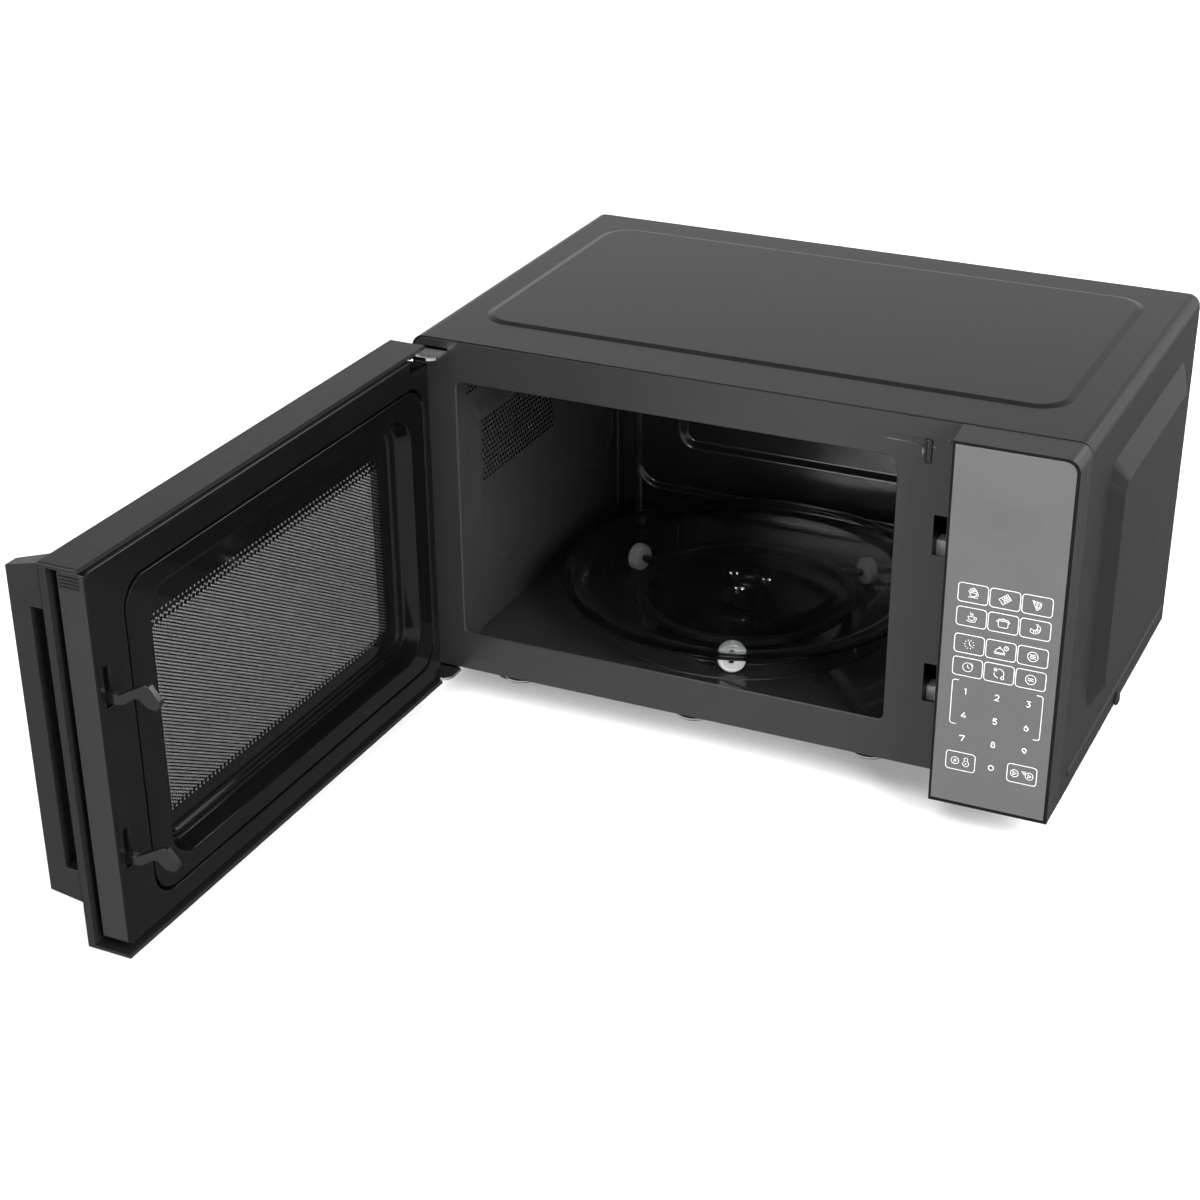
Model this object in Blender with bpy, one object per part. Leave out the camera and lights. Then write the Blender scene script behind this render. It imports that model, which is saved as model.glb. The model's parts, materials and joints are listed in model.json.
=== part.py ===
"""A countertop microwave oven with its door open, as separate solids.

Lengths in this file are millimetres until they reach Blender. The cabinet frame has x from
the left side of the cover to its right side, y from the cover's front edge to the back, and
z up from the surface that the feet stand on. The last function moves everything so that the
middle of the finished model's footprint is the origin.
"""

import math

import bmesh
import bpy
from mathutils import Matrix, Vector

MM = 0.001
GAP = 0.3                      # clearance between neighbouring solids
SHEET = 1.0                    # pressed steel, as modelled

# Cabinet
WIDTH = 440.0
COVER_DEPTH = 276.0
COVER_TOP = 257.0
COVER_BOTTOM = 18.4
COVER_RADIUS = 8.4
BASE_Z = 19.8                  # underside of the base plate
FOOT_X, FOOT_Y = (42.0, 398.0), (44.0, 236.0)
EMBOSS = 1.2                   # raised field in the top of the cover
BULGE = 7.0                    # raised field in the right side of the cover
PLATE_Y = 0.6                  # front face of the front plate
PLATE_BOTTOM = 23.0

# Cavity
OPEN_X = (29.8, 324.5)
OPEN_Z = (50.8, 228.8)
CAVITY_X = (24.2, 330.2)
CAVITY_Z = (35.0, 244.0)
CAVITY_BACK = 284.0
SPIN_X, SPIN_Y = 177.2, 140.0  # turntable axis
ROLLER_RADIUS = 9.5
ROLLER_TRACK = 94.0
ROLLER_ANGLES = (46, 166, 286)
TRAY_RADIUS = 127.5

# Works beside the cavity
MAGNETRON_Y, MAGNETRON_Z = 168.0, 142.0
FAN = (386.0, 158.0)           # x and z of the fan's axis
GLAND = (408.0, 62.0)          # x and z of the mains cord's way out
SWITCH_Z = (84.0, 178.0, 196.0)

# Control panel
PANEL_X = 365.3
PANEL_FRONT = -27.3
PANEL_Z = (18.8, 256.6)

# Door: u runs from the hinge end, v is 0 on the inner face and negative outwards
OPEN_ANGLE = 90.9
DOOR_LEFT = 3.4                # x of the hinge end when the door is shut
DOOR_FACE = -1.0               # y of the inner face when the door is shut
HINGE_U, HINGE_V = 2.4, -13.3
HINGE_X, HINGE_Y = DOOR_LEFT + HINGE_U, DOOR_FACE + HINGE_V
DOOR_LENGTH = 358.8
DOOR_THICK = 27.4
DOOR_Z = (17.0, 255.8)
CHOKE_Z = (23.8, 252.8)
CHOKE_V = -18.2
RING_U, RING_Z, RING_R = (10.5, 326.0), (37.5, 233.5), 18.0
WINDOW_U, WINDOW_Z, WINDOW_R = (28.0, 307.5), (50.4, 220.0), 20.0
SCREEN_V = -14.0
SLOT_U = (344.8, 351.2)
DOOR_SLOTS = ((71.9, 96.8), (171.9, 196.8))
HOOK_U = (346.0, 350.0)
HOOK_Z = (49.3, 149.3)         # underside of each hook, above the plate's lower edge
LATCH_SLOT_X = (348.9, 357.1)
LATCH_SLOTS = ((70.4, 96.6), (169.8, 195.9))
TAB_UPPER, TAB_LOWER = (247.5, 249.5), (20.4, 22.4)
PIN_RADIUS = 1.6


# ---------------------------------------------------------------- building blocks

def clear_scene():
    for obj in list(bpy.data.objects):
        bpy.data.objects.remove(obj, do_unlink=True)


def paint(name, colour, roughness, metallic=0.0):
    material = bpy.data.materials.new(name)
    material.use_nodes = True
    shader = material.node_tree.nodes["Principled BSDF"]
    shader.inputs["Base Color"].default_value = (*colour, 1.0)
    shader.inputs["Roughness"].default_value = roughness
    shader.inputs["Metallic"].default_value = metallic
    return material


def make_object(name, bm, smooth_angle=None):
    """A hidden helper object with its faces pointing out; node() makes one of them a sub-part."""
    bmesh.ops.remove_doubles(bm, verts=bm.verts, dist=1e-4)
    bmesh.ops.recalc_face_normals(bm, faces=bm.faces)
    bm.transform(Matrix.Scale(MM, 4))
    mesh = bpy.data.meshes.new(name)
    bm.to_mesh(mesh)
    bm.free()
    if smooth_angle is not None:
        mesh.shade_smooth()
        mesh.set_sharp_from_angle(angle=math.radians(smooth_angle))
    obj = bpy.data.objects.new(name, mesh)
    bpy.context.scene.collection.objects.link(obj)
    obj.hide_render = True
    obj.display_type = "WIRE"
    return obj


def box(x, y, z):
    bm = bmesh.new()
    corners = [bm.verts.new((x[i], y[j], z[k])) for k in (0, 1) for j in (0, 1) for i in (0, 1)]
    for quad in ((0, 2, 3, 1), (4, 5, 7, 6), (0, 1, 5, 4), (2, 6, 7, 3), (0, 4, 6, 2), (1, 3, 7, 5)):
        bm.faces.new([corners[i] for i in quad])
    return make_object("box", bm)


def place(axis, a, b, c):
    """A point whose (a, b) lie across the axis and whose c lies along it."""
    return {"x": (c, a, b), "y": (a, c, b), "z": (a, b, c)}[axis]


def loft(axis, sections, smooth_angle=None):
    """A solid through outlines of equal length, each given with its place along the axis."""
    bm = bmesh.new()
    rings = [[bm.verts.new(place(axis, a, b, c)) for a, b in outline] for outline, c in sections]
    for low, high in zip(rings, rings[1:]):
        for i in range(len(low)):
            j = (i + 1) % len(low)
            bm.faces.new((low[i], low[j], high[j], high[i]))
    bm.faces.new(rings[0])
    bm.faces.new(rings[-1])
    return make_object("loft", bm, smooth_angle)


def prism(axis, outline, low, high, smooth_angle=None):
    return loft(axis, [(outline, low), (outline, high)], smooth_angle)


def arc(cx, cy, radius, start, stop, steps):
    angles = [math.radians(start + (stop - start) * i / steps) for i in range(steps + 1)]
    return [(cx + radius * math.cos(t), cy + radius * math.sin(t)) for t in angles]


def rounded(a, b, radii, steps=5, grow=0.0):
    """A rectangle's outline; radii run from its low-low corner anticlockwise, 0 for a square one."""
    (a0, a1), (b0, b1) = (a[0] - grow, a[1] + grow), (b[0] - grow, b[1] + grow)
    if not isinstance(radii, (tuple, list)):
        radii = (radii,) * 4
    outline = []
    corners = ((a0, b0, 180, 1, 1), (a1, b0, 270, -1, 1), (a1, b1, 0, -1, -1), (a0, b1, 90, 1, -1))
    for (ca, cb, start, sa, sb), radius in zip(corners, radii):
        if radius <= 0:
            outline.append((ca, cb))
        else:
            outline += arc(ca + sa * radius, cb + sb * radius, radius, start, start + 90, steps)
    return outline


def cylinder(axis, centre, radius, low, high, segments=20):
    a, b = centre
    outline = [(a + radius * math.cos(2 * math.pi * i / segments),
                b + radius * math.sin(2 * math.pi * i / segments)) for i in range(segments)]
    return prism(axis, outline, low, high, smooth_angle=40)


def turned(profile, centre, segments):
    """A solid turned about the vertical line through centre, from a closed (radius, z) profile."""
    bm = bmesh.new()
    rings = []
    for i in range(segments):
        t = 2 * math.pi * i / segments
        rings.append([bm.verts.new((centre[0] + r * math.cos(t), centre[1] + r * math.sin(t), z))
                      for r, z in profile])
    for i in range(segments):
        here, there = rings[i], rings[(i + 1) % segments]
        for j in range(len(profile)):
            k = (j + 1) % len(profile)
            if profile[j][0] > 0 or profile[k][0] > 0:
                bm.faces.new((here[j], there[j], there[k], here[k]))
    bmesh.ops.remove_doubles(bm, verts=bm.verts, dist=1e-4)
    bmesh.ops.dissolve_degenerate(bm, edges=bm.edges, dist=1e-5)
    return make_object("turned", bm, smooth_angle=40)


def boolean(target, operation, others):
    for other in others:
        modifier = target.modifiers.new(operation.title(), "BOOLEAN")
        modifier.operation = operation
        modifier.solver = "EXACT"
        modifier.object = other
    return target


def add(target, *others):
    return boolean(target, "UNION", others)


def cut(target, *others):
    return boolean(target, "DIFFERENCE", others)


def node(name, obj, material):
    """Makes a helper into a sub-part of the finished model."""
    obj.name = name
    obj.data.name = name
    obj.hide_render = False
    obj.display_type = "TEXTURED"
    if obj.type == "MESH":
        obj.data.materials.clear()
    obj.data.materials.append(material)
    return obj


def origin_to(obj, point):
    """Puts the origin of an object, and of its cutters, on a point given in millimetres."""
    offset = Vector(point) * MM
    for item in [obj] + [modifier.object for modifier in obj.modifiers if modifier.type == "BOOLEAN"]:
        item.data.transform(Matrix.Translation(-offset))
        item.location = offset
    return obj


# ---------------------------------------------------------------- cabinet shells

def side_bulge(height, shrink):
    base = rounded((50 + shrink, 250 - shrink), (55 + shrink, 223 - shrink), 14)
    top = rounded((68 + shrink, 234 - shrink), (66 + shrink, 206 - shrink), 10)
    start = WIDTH - 3.0
    return loft("x", [(base, start), (base, WIDTH - shrink), (top, WIDTH - shrink + height)])


def top_emboss(height, shrink):
    base = rounded((24.7 + shrink, 413 - shrink), (37 + shrink, 252 - shrink), 22)
    top = rounded((29.7 + shrink, 408 - shrink), (42 + shrink, 247 - shrink), 18)
    start = COVER_TOP - 3.0
    return loft("z", [(base, start), (base, COVER_TOP - shrink), (top, COVER_TOP - shrink + height)])


def outer_cover(steel):
    radii = (0, 0, COVER_RADIUS, COVER_RADIUS)
    shell = prism("y", rounded((0, WIDTH), (COVER_BOTTOM, COVER_TOP), radii), 0, COVER_DEPTH, 30)
    inner_radius = COVER_RADIUS - SHEET
    inside = rounded((SHEET, WIDTH - SHEET), (COVER_BOTTOM + SHEET, COVER_TOP - SHEET),
                     (0, 0, inner_radius, inner_radius))
    add(shell, side_bulge(BULGE, 0), top_emboss(EMBOSS, 0))
    cut(shell, prism("y", inside, -5, COVER_DEPTH + 5), side_bulge(BULGE, SHEET),
        top_emboss(EMBOSS, SHEET), box((12, WIDTH - 12), (-5, COVER_DEPTH + 5), (10, 25)))
    vents = [box((-4, 4), (196 + 9 * i, 200 + 9 * i), (60, 92)) for i in range(6)]
    cut(shell, *vents)
    return node("outer_cover", shell, steel)


def front_plate(steel):
    low, high = PLATE_BOTTOM, COVER_TOP - SHEET - GAP
    outline = rounded((1.4, WIDTH - 1.4), (low, high), (0, 0, 6.6, 6.6))
    inner = rounded((2.4, WIDTH - 2.4), (low + SHEET, high - SHEET), (0, 0, 5.6, 5.6))
    plate = prism("y", outline, PLATE_Y, 11)
    cut(plate, prism("y", inner, PLATE_Y + SHEET, 15),
        prism("y", rounded(OPEN_X, OPEN_Z, 4), -2, 4),
        box((7, 25), (-2, 4), (TAB_UPPER[0] - 1, TAB_UPPER[1] + 1)),
        box((7, 25), (PLATE_Y + SHEET + 0.1, 15), (20, 26)))
    for low_z, high_z in LATCH_SLOTS:
        cut(plate, box(LATCH_SLOT_X, (-2, 4), (low_z, high_z)))
    return node("front_plate", plate, steel)


def cavity(steel):
    back = CAVITY_BACK + SHEET
    front = PLATE_Y + SHEET + GAP
    outer = rounded((CAVITY_X[0] - SHEET, CAVITY_X[1] + SHEET), (front, back), (0, 0, 15, 15))
    inner = rounded(CAVITY_X, (front - 9, CAVITY_BACK), (0, 0, 14, 14))
    liner = prism("z", outer, CAVITY_Z[0] - SHEET, CAVITY_Z[1] + SHEET, 30)
    cut(liner, prism("z", inner, *CAVITY_Z), cylinder("z", (SPIN_X, SPIN_Y), 6, 30, 40),
        box((328, 334), (104, 164), (110, 175)), box((328, 334), (52, 66), (205, 217)))
    return node("cavity_liner", liner, steel)


def base_plate(steel):
    plate = box((2, WIDTH - 2), (8, 274), (BASE_Z, BASE_Z + SHEET))
    dimples = [cylinder("z", (x, 16), 13, BASE_Z - 3, BASE_Z + 0.5, 24) for x in (65, 191, 313)]
    skirt = box((2, WIDTH - 2), (273, 274), (BASE_Z, BASE_Z + 12))
    add(plate, skirt, *dimples)
    cut(plate, box((0, 30), (0, 12), (10, 30)))
    return node("base_plate", plate, steel)


def rear_panel(steel):
    """The panel across the back, pressed out around the cavity, with a grille for the fan."""
    panel = prism("y", rounded((1.4, WIDTH - 1.4), (33.0, 255.6), (0, 0, 6.6, 6.6)), 274.6, 275.6)
    add(panel, prism("y", rounded((17, 337), (29.6, 250), 8), 274.6, 289.6))
    cut(panel, prism("y", rounded((18, 336), (30.6, 249), 7), 270, 288.6))
    slots = [box((352, 420), (270, 280), (118 + 9 * i, 122 + 9 * i)) for i in range(9)]
    cut(panel, *slots, cylinder("y", GLAND, 7.5, 270, 280))
    return node("rear_panel", panel, steel)


def feet(rubber):
    top = BASE_Z - GAP
    profile = [(0, 0), (8.5, 0), (9.5, 1.2), (11, top), (0, top)]
    for index, spot in enumerate([(x, y) for y in FOOT_Y for x in FOOT_X]):
        node(f"foot_{index + 1}", turned(profile, spot, 20), rubber)


# ---------------------------------------------------------------- control panel

def panel_parts(plastic, glass, film, board_green, display_black):
    front = PANEL_FRONT
    outline = rounded((PANEL_X, WIDTH), PANEL_Z, (0, 0, COVER_RADIUS, 0))
    housing = prism("y", outline, front, -GAP)
    pocket = rounded((PANEL_X + 1.2, WIDTH - 1.4), (PANEL_Z[0] + 1.4, PANEL_Z[1] - 1.4), (0, 0, 7.0, 0))
    inside = rounded((PANEL_X + 2, WIDTH - 2), (PANEL_Z[0] + 2, PANEL_Z[1] - 2), (0, 0, 6.4, 0))
    cut(housing, prism("y", pocket, front - 5, front + 2.8), prism("y", inside, front + 4.8, 5),
        box((376, 422), (front - 5, 0), (198, 224)))
    node("control_panel_housing", housing, plastic)
    pane = rounded((PANEL_X + 1.5, WIDTH - 1.7), (PANEL_Z[0] + 1.7, PANEL_Z[1] - 1.7), (0, 0, 6.7, 0))
    node("control_glass", prism("y", pane, front, front + 1.8, 30), glass)
    node("touch_film", box((368.5, 436), (front + 2.1, front + 2.5), (24, 190)), film)
    display = box((377, 421), (front + 5.1, front + 13), (199, 223))
    node("display_module", display, display_black)
    board = box((370, 435), (-13.2, -11.6), (60, 240))
    add(board, box((376, 392), (-12, -3), (70, 88)), box((398, 420), (-12, -1.5), (68, 92)),
        cylinder("y", (384, 130), 6, -12, -2, 16), cylinder("y", (404, 140), 6, -12, -4, 16),
        box((374, 386), (-20, -13), (66, 196)))
    node("control_board", board, board_green)


# ---------------------------------------------------------------- parts of the cavity

def about_spin(outline, degrees):
    """An (along, across) outline turned about the turntable axis."""
    c, s = math.cos(math.radians(degrees)), math.sin(math.radians(degrees))
    return [(SPIN_X + a * c - b * s, SPIN_Y + a * s + b * c) for a, b in outline]


def turntable(white, glass, black, steel):
    spin = (SPIN_X, SPIN_Y)
    floor = CAVITY_Z[0]
    motor_low, motor_high = BASE_Z + SHEET + 0.4, floor - SHEET - 0.4
    motor = turned([(0, motor_low), (24, motor_low), (24, motor_high), (0, motor_high)], spin, 32)
    add(motor, box((SPIN_X - 31, SPIN_X + 31), (SPIN_Y - 6, SPIN_Y + 6), (motor_high - 1.2, motor_high)))
    node("turntable_motor", motor, steel)
    hub = turned([(0, 34.0), (4.5, 34.0), (4.5, floor + 0.6), (9, floor + 0.6), (9, floor + 14),
                  (0, floor + 14)], spin, 24)
    lobe = rounded((0, 17), (-3.5, 3.5), (0, 3.4, 3.4, 0), 3)
    add(hub, *[prism("z", about_spin(lobe, angle), floor + 4, floor + 16) for angle in (90, 210, 330)])
    origin_to(node("turntable_coupler", hub, black), (*spin, 0))

    axle_z = floor + ROLLER_RADIUS + GAP
    low, high = axle_z - 2, axle_z + 2
    ring = turned([(70, low), (76, low), (76, high), (70, high)], spin, 40)
    axle = [(74, -2), (99, -2), (99, 2), (74, 2)]
    add(ring, *[prism("z", about_spin(axle, angle), low, high) for angle in ROLLER_ANGLES])
    origin_to(node("roller_ring", ring, black), (*spin, 0))
    for index, angle in enumerate(ROLLER_ANGLES):
        roller(index, angle, axle_z, white)

    under = floor + 2 * ROLLER_RADIUS + 2 * GAP
    profile = [(0, under), (112, under), (121, under + 3.5), (TRAY_RADIUS, under + 5.4),
               (TRAY_RADIUS, under + 7.4), (TRAY_RADIUS - 4, under + 7.4), (119, under + 7.2),
               (110.5, under + 4), (0, under + 4)]
    tray = turned(profile, spin, 64)
    for angle in (30, 150, 270):
        lug = about_spin([(14, 0)], angle)[0]
        add(tray, cylinder("z", lug, 3.2, under - 6, under + 1, 12))
    origin_to(node("glass_tray", tray, glass), (*spin, 0))


def roller(index, angle, axle_z, white):
    """A wheel with a bore, built round the x axis and then set on its axle."""
    bm = bmesh.new()
    segments, half, bore, chamfer = 24, 4.0, 3.0, 0.8
    profile = ((bore, -half), (ROLLER_RADIUS - chamfer, -half), (ROLLER_RADIUS, -half + chamfer),
               (ROLLER_RADIUS, half - chamfer), (ROLLER_RADIUS - chamfer, half), (bore, half))
    turns = [2 * math.pi * i / segments for i in range(segments)]
    rings = [[bm.verts.new((along, radius * math.cos(t), radius * math.sin(t))) for t in turns]
             for radius, along in profile]
    for here, there in zip(rings, rings[1:] + rings[:1]):
        for i in range(segments):
            j = (i + 1) % segments
            bm.faces.new((here[i], here[j], there[j], there[i]))
    wheel = node(f"roller_{index + 1}", make_object("wheel", bm, 40), white)
    wheel.location = Vector((*about_spin([(ROLLER_TRACK, 0)], angle)[0], axle_z)) * MM
    wheel.rotation_euler = (0, 0, math.radians(angle))


# ---------------------------------------------------------------- works behind the panel

def latch_works(white, black):
    bracket = box((347.2, 358.8), (2.2, 34), (60, 206))
    cut(bracket, box((348.6, 357.4), (0, 40), (66, 204)))
    ledges = [box((348, 358), (12.2, 17.4), (z - 8, z - 0.6)) for z in (PLATE_BOTTOM + base for base in HOOK_Z)]
    add(bracket, *ledges, box((347.2, 358.8), (2.2, 10), (118, 124)))
    node("interlock_bracket", bracket, white)
    for index, z in enumerate(SWITCH_Z):
        body = box((347.5, 358.5), (38.4, 54), (z - 9, z + 7))
        cut(body, box((351, 355), (36, 46), (z - 2, z + 2)))
        node(f"micro_switch_{index + 1}", body, black)
        plunger = box((351.4, 354.6), (35.4, 42.4), (z - 1.6, z + 1.6))
        origin_to(node(f"switch_plunger_{index + 1}", plunger, white), (353, 38.4, z))


def magnetron_works(steel, aluminium, ceramic, mica):
    centre = (MAGNETRON_Y, MAGNETRON_Z)
    guide = box((331.6, 354), (96, 198), (105, 180))
    cut(guide, box((330, 352.8), (97.2, 196.8), (106.2, 178.8)))
    cut(guide, cylinder("x", centre, 9, 350, 357))
    node("waveguide", guide, steel)
    yoke = box((355.6, 408), (130, 206), (102, 182))
    cut(yoke, box((357.2, 406.4), (125, 211), (103.6, 180.4)))
    cut(yoke, cylinder("x", centre, 10, 350, 360))
    node("magnetron_yoke", yoke, steel)
    tube = cylinder("x", centre, 19, 361, 400, 24)
    fins = [box((366 + 4.5 * i, 367 + 4.5 * i), (133, 203), (108, 176)) for i in range(7)]
    add(tube, *fins)
    node("magnetron_tube", tube, aluminium)
    antenna = cylinder("x", centre, 7.5, 338, 360.7, 20)
    node("magnetron_antenna", antenna, ceramic)
    sheet = box((329.1, 329.9), (98, 170), (102, 183))
    node("waveguide_cover", sheet, mica)


def power_works(steel, copper, black, board_green):
    core = box((340, 420), (118, 186), (21.2, 82))
    cut(core, box((358, 372), (110, 195), (34, 70)), box((388, 402), (110, 195), (34, 70)))
    node("transformer_core", core, steel)
    coil = box((358.5, 401.5), (106, 198), (34.4, 69.6))
    cut(coil, box((371.6, 388.4), (117.6, 186.4), (20, 90)))
    node("transformer_winding", coil, copper)
    can = prism("y", rounded((376, 424), (21.2, 53), 14), 60, 100, 30)
    add(can, box((388, 393), (56, 61), (32, 42)), box((404, 409), (56, 61), (32, 42)))
    node("hv_capacitor", can, steel)
    diode = cylinder("x", (84, 60), 3.5, 384, 414, 12)
    node("hv_diode", diode, black)
    filter_board = box((350, 424), (120, 200), (222, 223.6))
    add(filter_board, cylinder("z", (372, 160), 14, 223, 240, 20), box((394, 418), (130, 148), (223, 238)),
        box((394, 418), (170, 190), (223, 234)))
    node("line_filter_board", filter_board, board_green)
    for index, y in enumerate((70, 92)):
        node(f"thermal_cutout_{index + 1}", cylinder("x", (y, 190), 7, 331.6, 340, 16), black)


def lamp(white, glass):
    holder = box((331.6, 342), (50, 68), (203, 219))
    cut(holder, box((330, 340.4), (51.6, 66.4), (204.6, 217.4)))
    node("lamp_holder", holder, white)
    node("cavity_lamp", cylinder("y", (336, 211), 3.6, 53, 65, 12), glass)


def fan_works(plastic, steel):
    shroud = box((344, 428), (246, 272), (116, 200))
    cut(shroud, cylinder("y", FAN, 39, 240, 280, 40))
    add(shroud, *[box((384, 388), (246.2, 249), (z0, z1)) for z0, z1 in ((118, 142), (174, 198))],
        cylinder("y", FAN, 17, 246, 248.4, 24))
    cut(shroud, cylinder("y", FAN, 2.8, 240, 280, 16))
    node("fan_shroud", shroud, plastic)
    motor = box((368, 404), (212, 244.4), (140, 178))
    cut(motor, box((374, 398), (205, 250), (164, 172)))
    add(motor, cylinder("y", FAN, 2.2, 243, 252, 12))
    node("fan_motor", motor, steel)
    hub = cylinder("y", FAN, 11, 253, 268, 24)
    corners = ((9, -18), (36, -9), (36, 9), (9, 18))      # radius and angle about the axis
    for middle in range(0, 360, 60):
        turns = [(radius, math.radians(middle + angle)) for radius, angle in corners]
        add(hub, tilted_blade([(FAN[0] + r * math.cos(t), FAN[1] + r * math.sin(t)) for r, t in turns]))
    origin_to(node("fan_blade", hub, plastic), (FAN[0], 0, FAN[1]))
    duct = box((345, 428), (241, 245.6), (104, 206))
    cut(duct, box((348, 425), (238, 250), (107, 203)))
    node("air_duct", duct, plastic)


def tilted_blade(outline):
    """One fan blade: a thin slab that leans from the front of the hub to its back."""
    bm = bmesh.new()
    leans = (256, 256, 265, 265)
    front = [bm.verts.new((x, y - 0.7, z)) for (x, z), y in zip(outline, leans)]
    back = [bm.verts.new((x, y + 0.7, z)) for (x, z), y in zip(outline, leans)]
    bm.faces.new(front)
    bm.faces.new(back)
    for i in range(4):
        j = (i + 1) % 4
        bm.faces.new((front[i], front[j], back[j], back[i]))
    bmesh.ops.triangulate(bm, faces=bm.faces)
    return make_object("blade", bm)


def small_fittings(black, rubber, steel):
    gland = cylinder("y", GLAND, 7.0, 270.6, 283, 20)
    add(gland, cylinder("y", GLAND, 10, 275.9, 278.5, 20), cylinder("y", GLAND, 10, 271.5, 274.3, 20))
    cut(gland, cylinder("y", GLAND, 3.6, 265, 290, 16))
    node("cord_gland", gland, rubber)
    side = cylinder("x", (141, 21.9), 4.6, WIDTH + GAP, WIDTH + 2.6, 16)
    node("side_screw", side, black)
    for index, spot in enumerate(((8, 240), (432, 240))):
        rear = cylinder("y", spot, 3.4, 275.9, 278.4, 12)
        node(f"rear_screw_{index + 1}", rear, steel)


# ---------------------------------------------------------------- hinges

def hinge_bracket(name, tab, pin, flange, steel):
    """A flat tab that reaches out under the end of the door, with the pin the door turns on."""
    eye = arc(HINGE_X, HINGE_Y, 3.8, 170, 300, 6)
    nose = arc(18, HINGE_Y + 4.3, 8, 270, 360, 5)
    outline = eye + nose + [(26, 0.3), (22.8, 0.3), (22.8, 4.4), (9, 4.4), (9, 0)]
    bracket = prism("z", outline, *tab)
    add(bracket, box((9, 22.8), (2.4, 4.4), flange),
        cylinder("z", (HINGE_X, HINGE_Y), PIN_RADIUS, *pin, 16))
    return node(name, bracket, steel)


# ---------------------------------------------------------------- door

def door_xy(u, v):
    """From the door's own (u, v) to its local x and y, which have the hinge axis at 0, 0."""
    return u - HINGE_U, v - HINGE_V


def door_box(u, v, z):
    (x0, y0), (x1, y1) = door_xy(u[0], v[0]), door_xy(u[1], v[1])
    return box((x0, x1), (y0, y1), z)


def door_loft(sections, smooth_angle=None):
    """A loft along v through (u, z) outlines."""
    local = [([(u - HINGE_U, z) for u, z in outline], v - HINGE_V) for outline, v in sections]
    return loft("y", local, smooth_angle)


def door_slab(outline, v0, v1):
    return door_loft([(outline, v0), (outline, v1)])


def door_pin_hole(z0, z1):
    return cylinder("z", (0, 0), PIN_RADIUS + GAP, z0, z1, 16)


def door_frame(plastic):
    length, (low, high) = DOOR_LENGTH, DOOR_Z
    frame = door_slab(rounded((0, length), DOOR_Z, 1.2, 2), -DOOR_THICK, 0.6)
    cut(frame, door_slab(rounded((5, 341), (low + 5, high - 5), 3, 2), -DOOR_THICK - 2, -24.1),
        door_slab(rounded((40, 300), (60, 215), 12, 4), -40, -10),
        door_box((1.6, length - 2.4), (-22.6, 5), (low + 2.8, high - 2.6)),
        door_box((length - 4, length + 5), (-22.6, 5), (low + 2.8, high - 2.6)),
        door_box((-5, length + 5), (-3.0, 5), (high - 3.2, high + 5)),
        door_box((-5, 3), (-3.0, 5), (low - 5, high + 5)),
        door_box((-5, 3), (-18.2, 5), (TAB_UPPER[0] - 4, high - 2.6)),
        door_box((-5, 3), (-18.2, 5), (low + 2.8, TAB_LOWER[1] + 0.8)))
    boss_plan = rounded((0.2, 6.6), (-17.4, -9.6), 1)
    local = [(u - HINGE_U, v - HINGE_V) for u, v in boss_plan]
    add(frame, prism("z", local, TAB_UPPER[1] + 0.6, high - 1),
        prism("z", local, TAB_LOWER[1] + 1.2, low + 12))
    cut(frame, door_pin_hole(TAB_UPPER[1], high - 2), door_pin_hole(20, 30))
    return node("door_frame", frame, plastic)


def door_glass(glass):
    pane = rounded((5.3, 340.7), (DOOR_Z[0] + 5.3, DOOR_Z[1] - 5.3), 3, 3)
    return node("door_glass", door_slab(pane, -DOOR_THICK, -24.4), glass)


def choke_cover(plastic):
    """The plastic surround of the door's inner face, hollow behind, with the two hook slots."""
    span = (2.0, 356.0)
    outline = rounded(span, CHOKE_Z, 3, 3)
    cover = door_loft([(outline, CHOKE_V), (outline, -1.5),
                       (rounded(span, CHOKE_Z, 3, 3, grow=-1.5), 0)])
    hole = rounded(RING_U, RING_Z, RING_R, 6, grow=0.5)
    inner_wall = rounded(RING_U, RING_Z, RING_R, 6, grow=2.0)
    hollow = door_slab(rounded((3.6, 354.4), (CHOKE_Z[0] + 1.6, CHOKE_Z[1] - 1.6), 2, 2), -30, -2.2)
    cut(hollow, door_slab(inner_wall, -35, 5))
    cut(cover, hollow, door_slab(hole, -30, 5))
    for slot in DOOR_SLOTS:
        cut(cover, door_box(SLOT_U, (-6, 4), slot))
    cut(cover, door_box((-2, 24.2), (-30, 4), (CHOKE_Z[1] - 8.4, 260)),
        door_box((-2, 8), (-30, -8), (10, 30)))
    return node("choke_cover", cover, plastic)


def door_panel(steel):
    """The pressed steel panel: a flat sealing ring that steps down to the screen."""
    ring = rounded(RING_U, RING_Z, RING_R)
    face = door_loft([(ring, SCREEN_V - 1.2), (ring, -0.2)])
    mouth = rounded(WINDOW_U, WINDOW_Z, WINDOW_R)
    first = rounded(WINDOW_U, WINDOW_Z, WINDOW_R - 3, grow=-3)
    second = rounded(WINDOW_U, WINDOW_Z, WINDOW_R - 8, grow=-9)
    cut(face, door_loft([(mouth, 3), (mouth, -0.2), (first, -11.5), (second, -12.2),
                         (second, SCREEN_V)]))
    behind = rounded(RING_U, RING_Z, RING_R - 1, grow=-1)
    pocket = door_slab(behind, -30, -1.2)
    keep = rounded(WINDOW_U, WINDOW_Z, WINDOW_R, grow=1.2)
    cut(pocket, door_slab(keep, -35, 5))
    cut(face, pocket)
    return node("door_panel", face, steel)


def door_film(film):
    sheet = rounded((30, 305), (52, 218), 6, 3)
    return node("door_film", door_slab(sheet, SCREEN_V - 2.2, SCREEN_V - 1.6), film)


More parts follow.
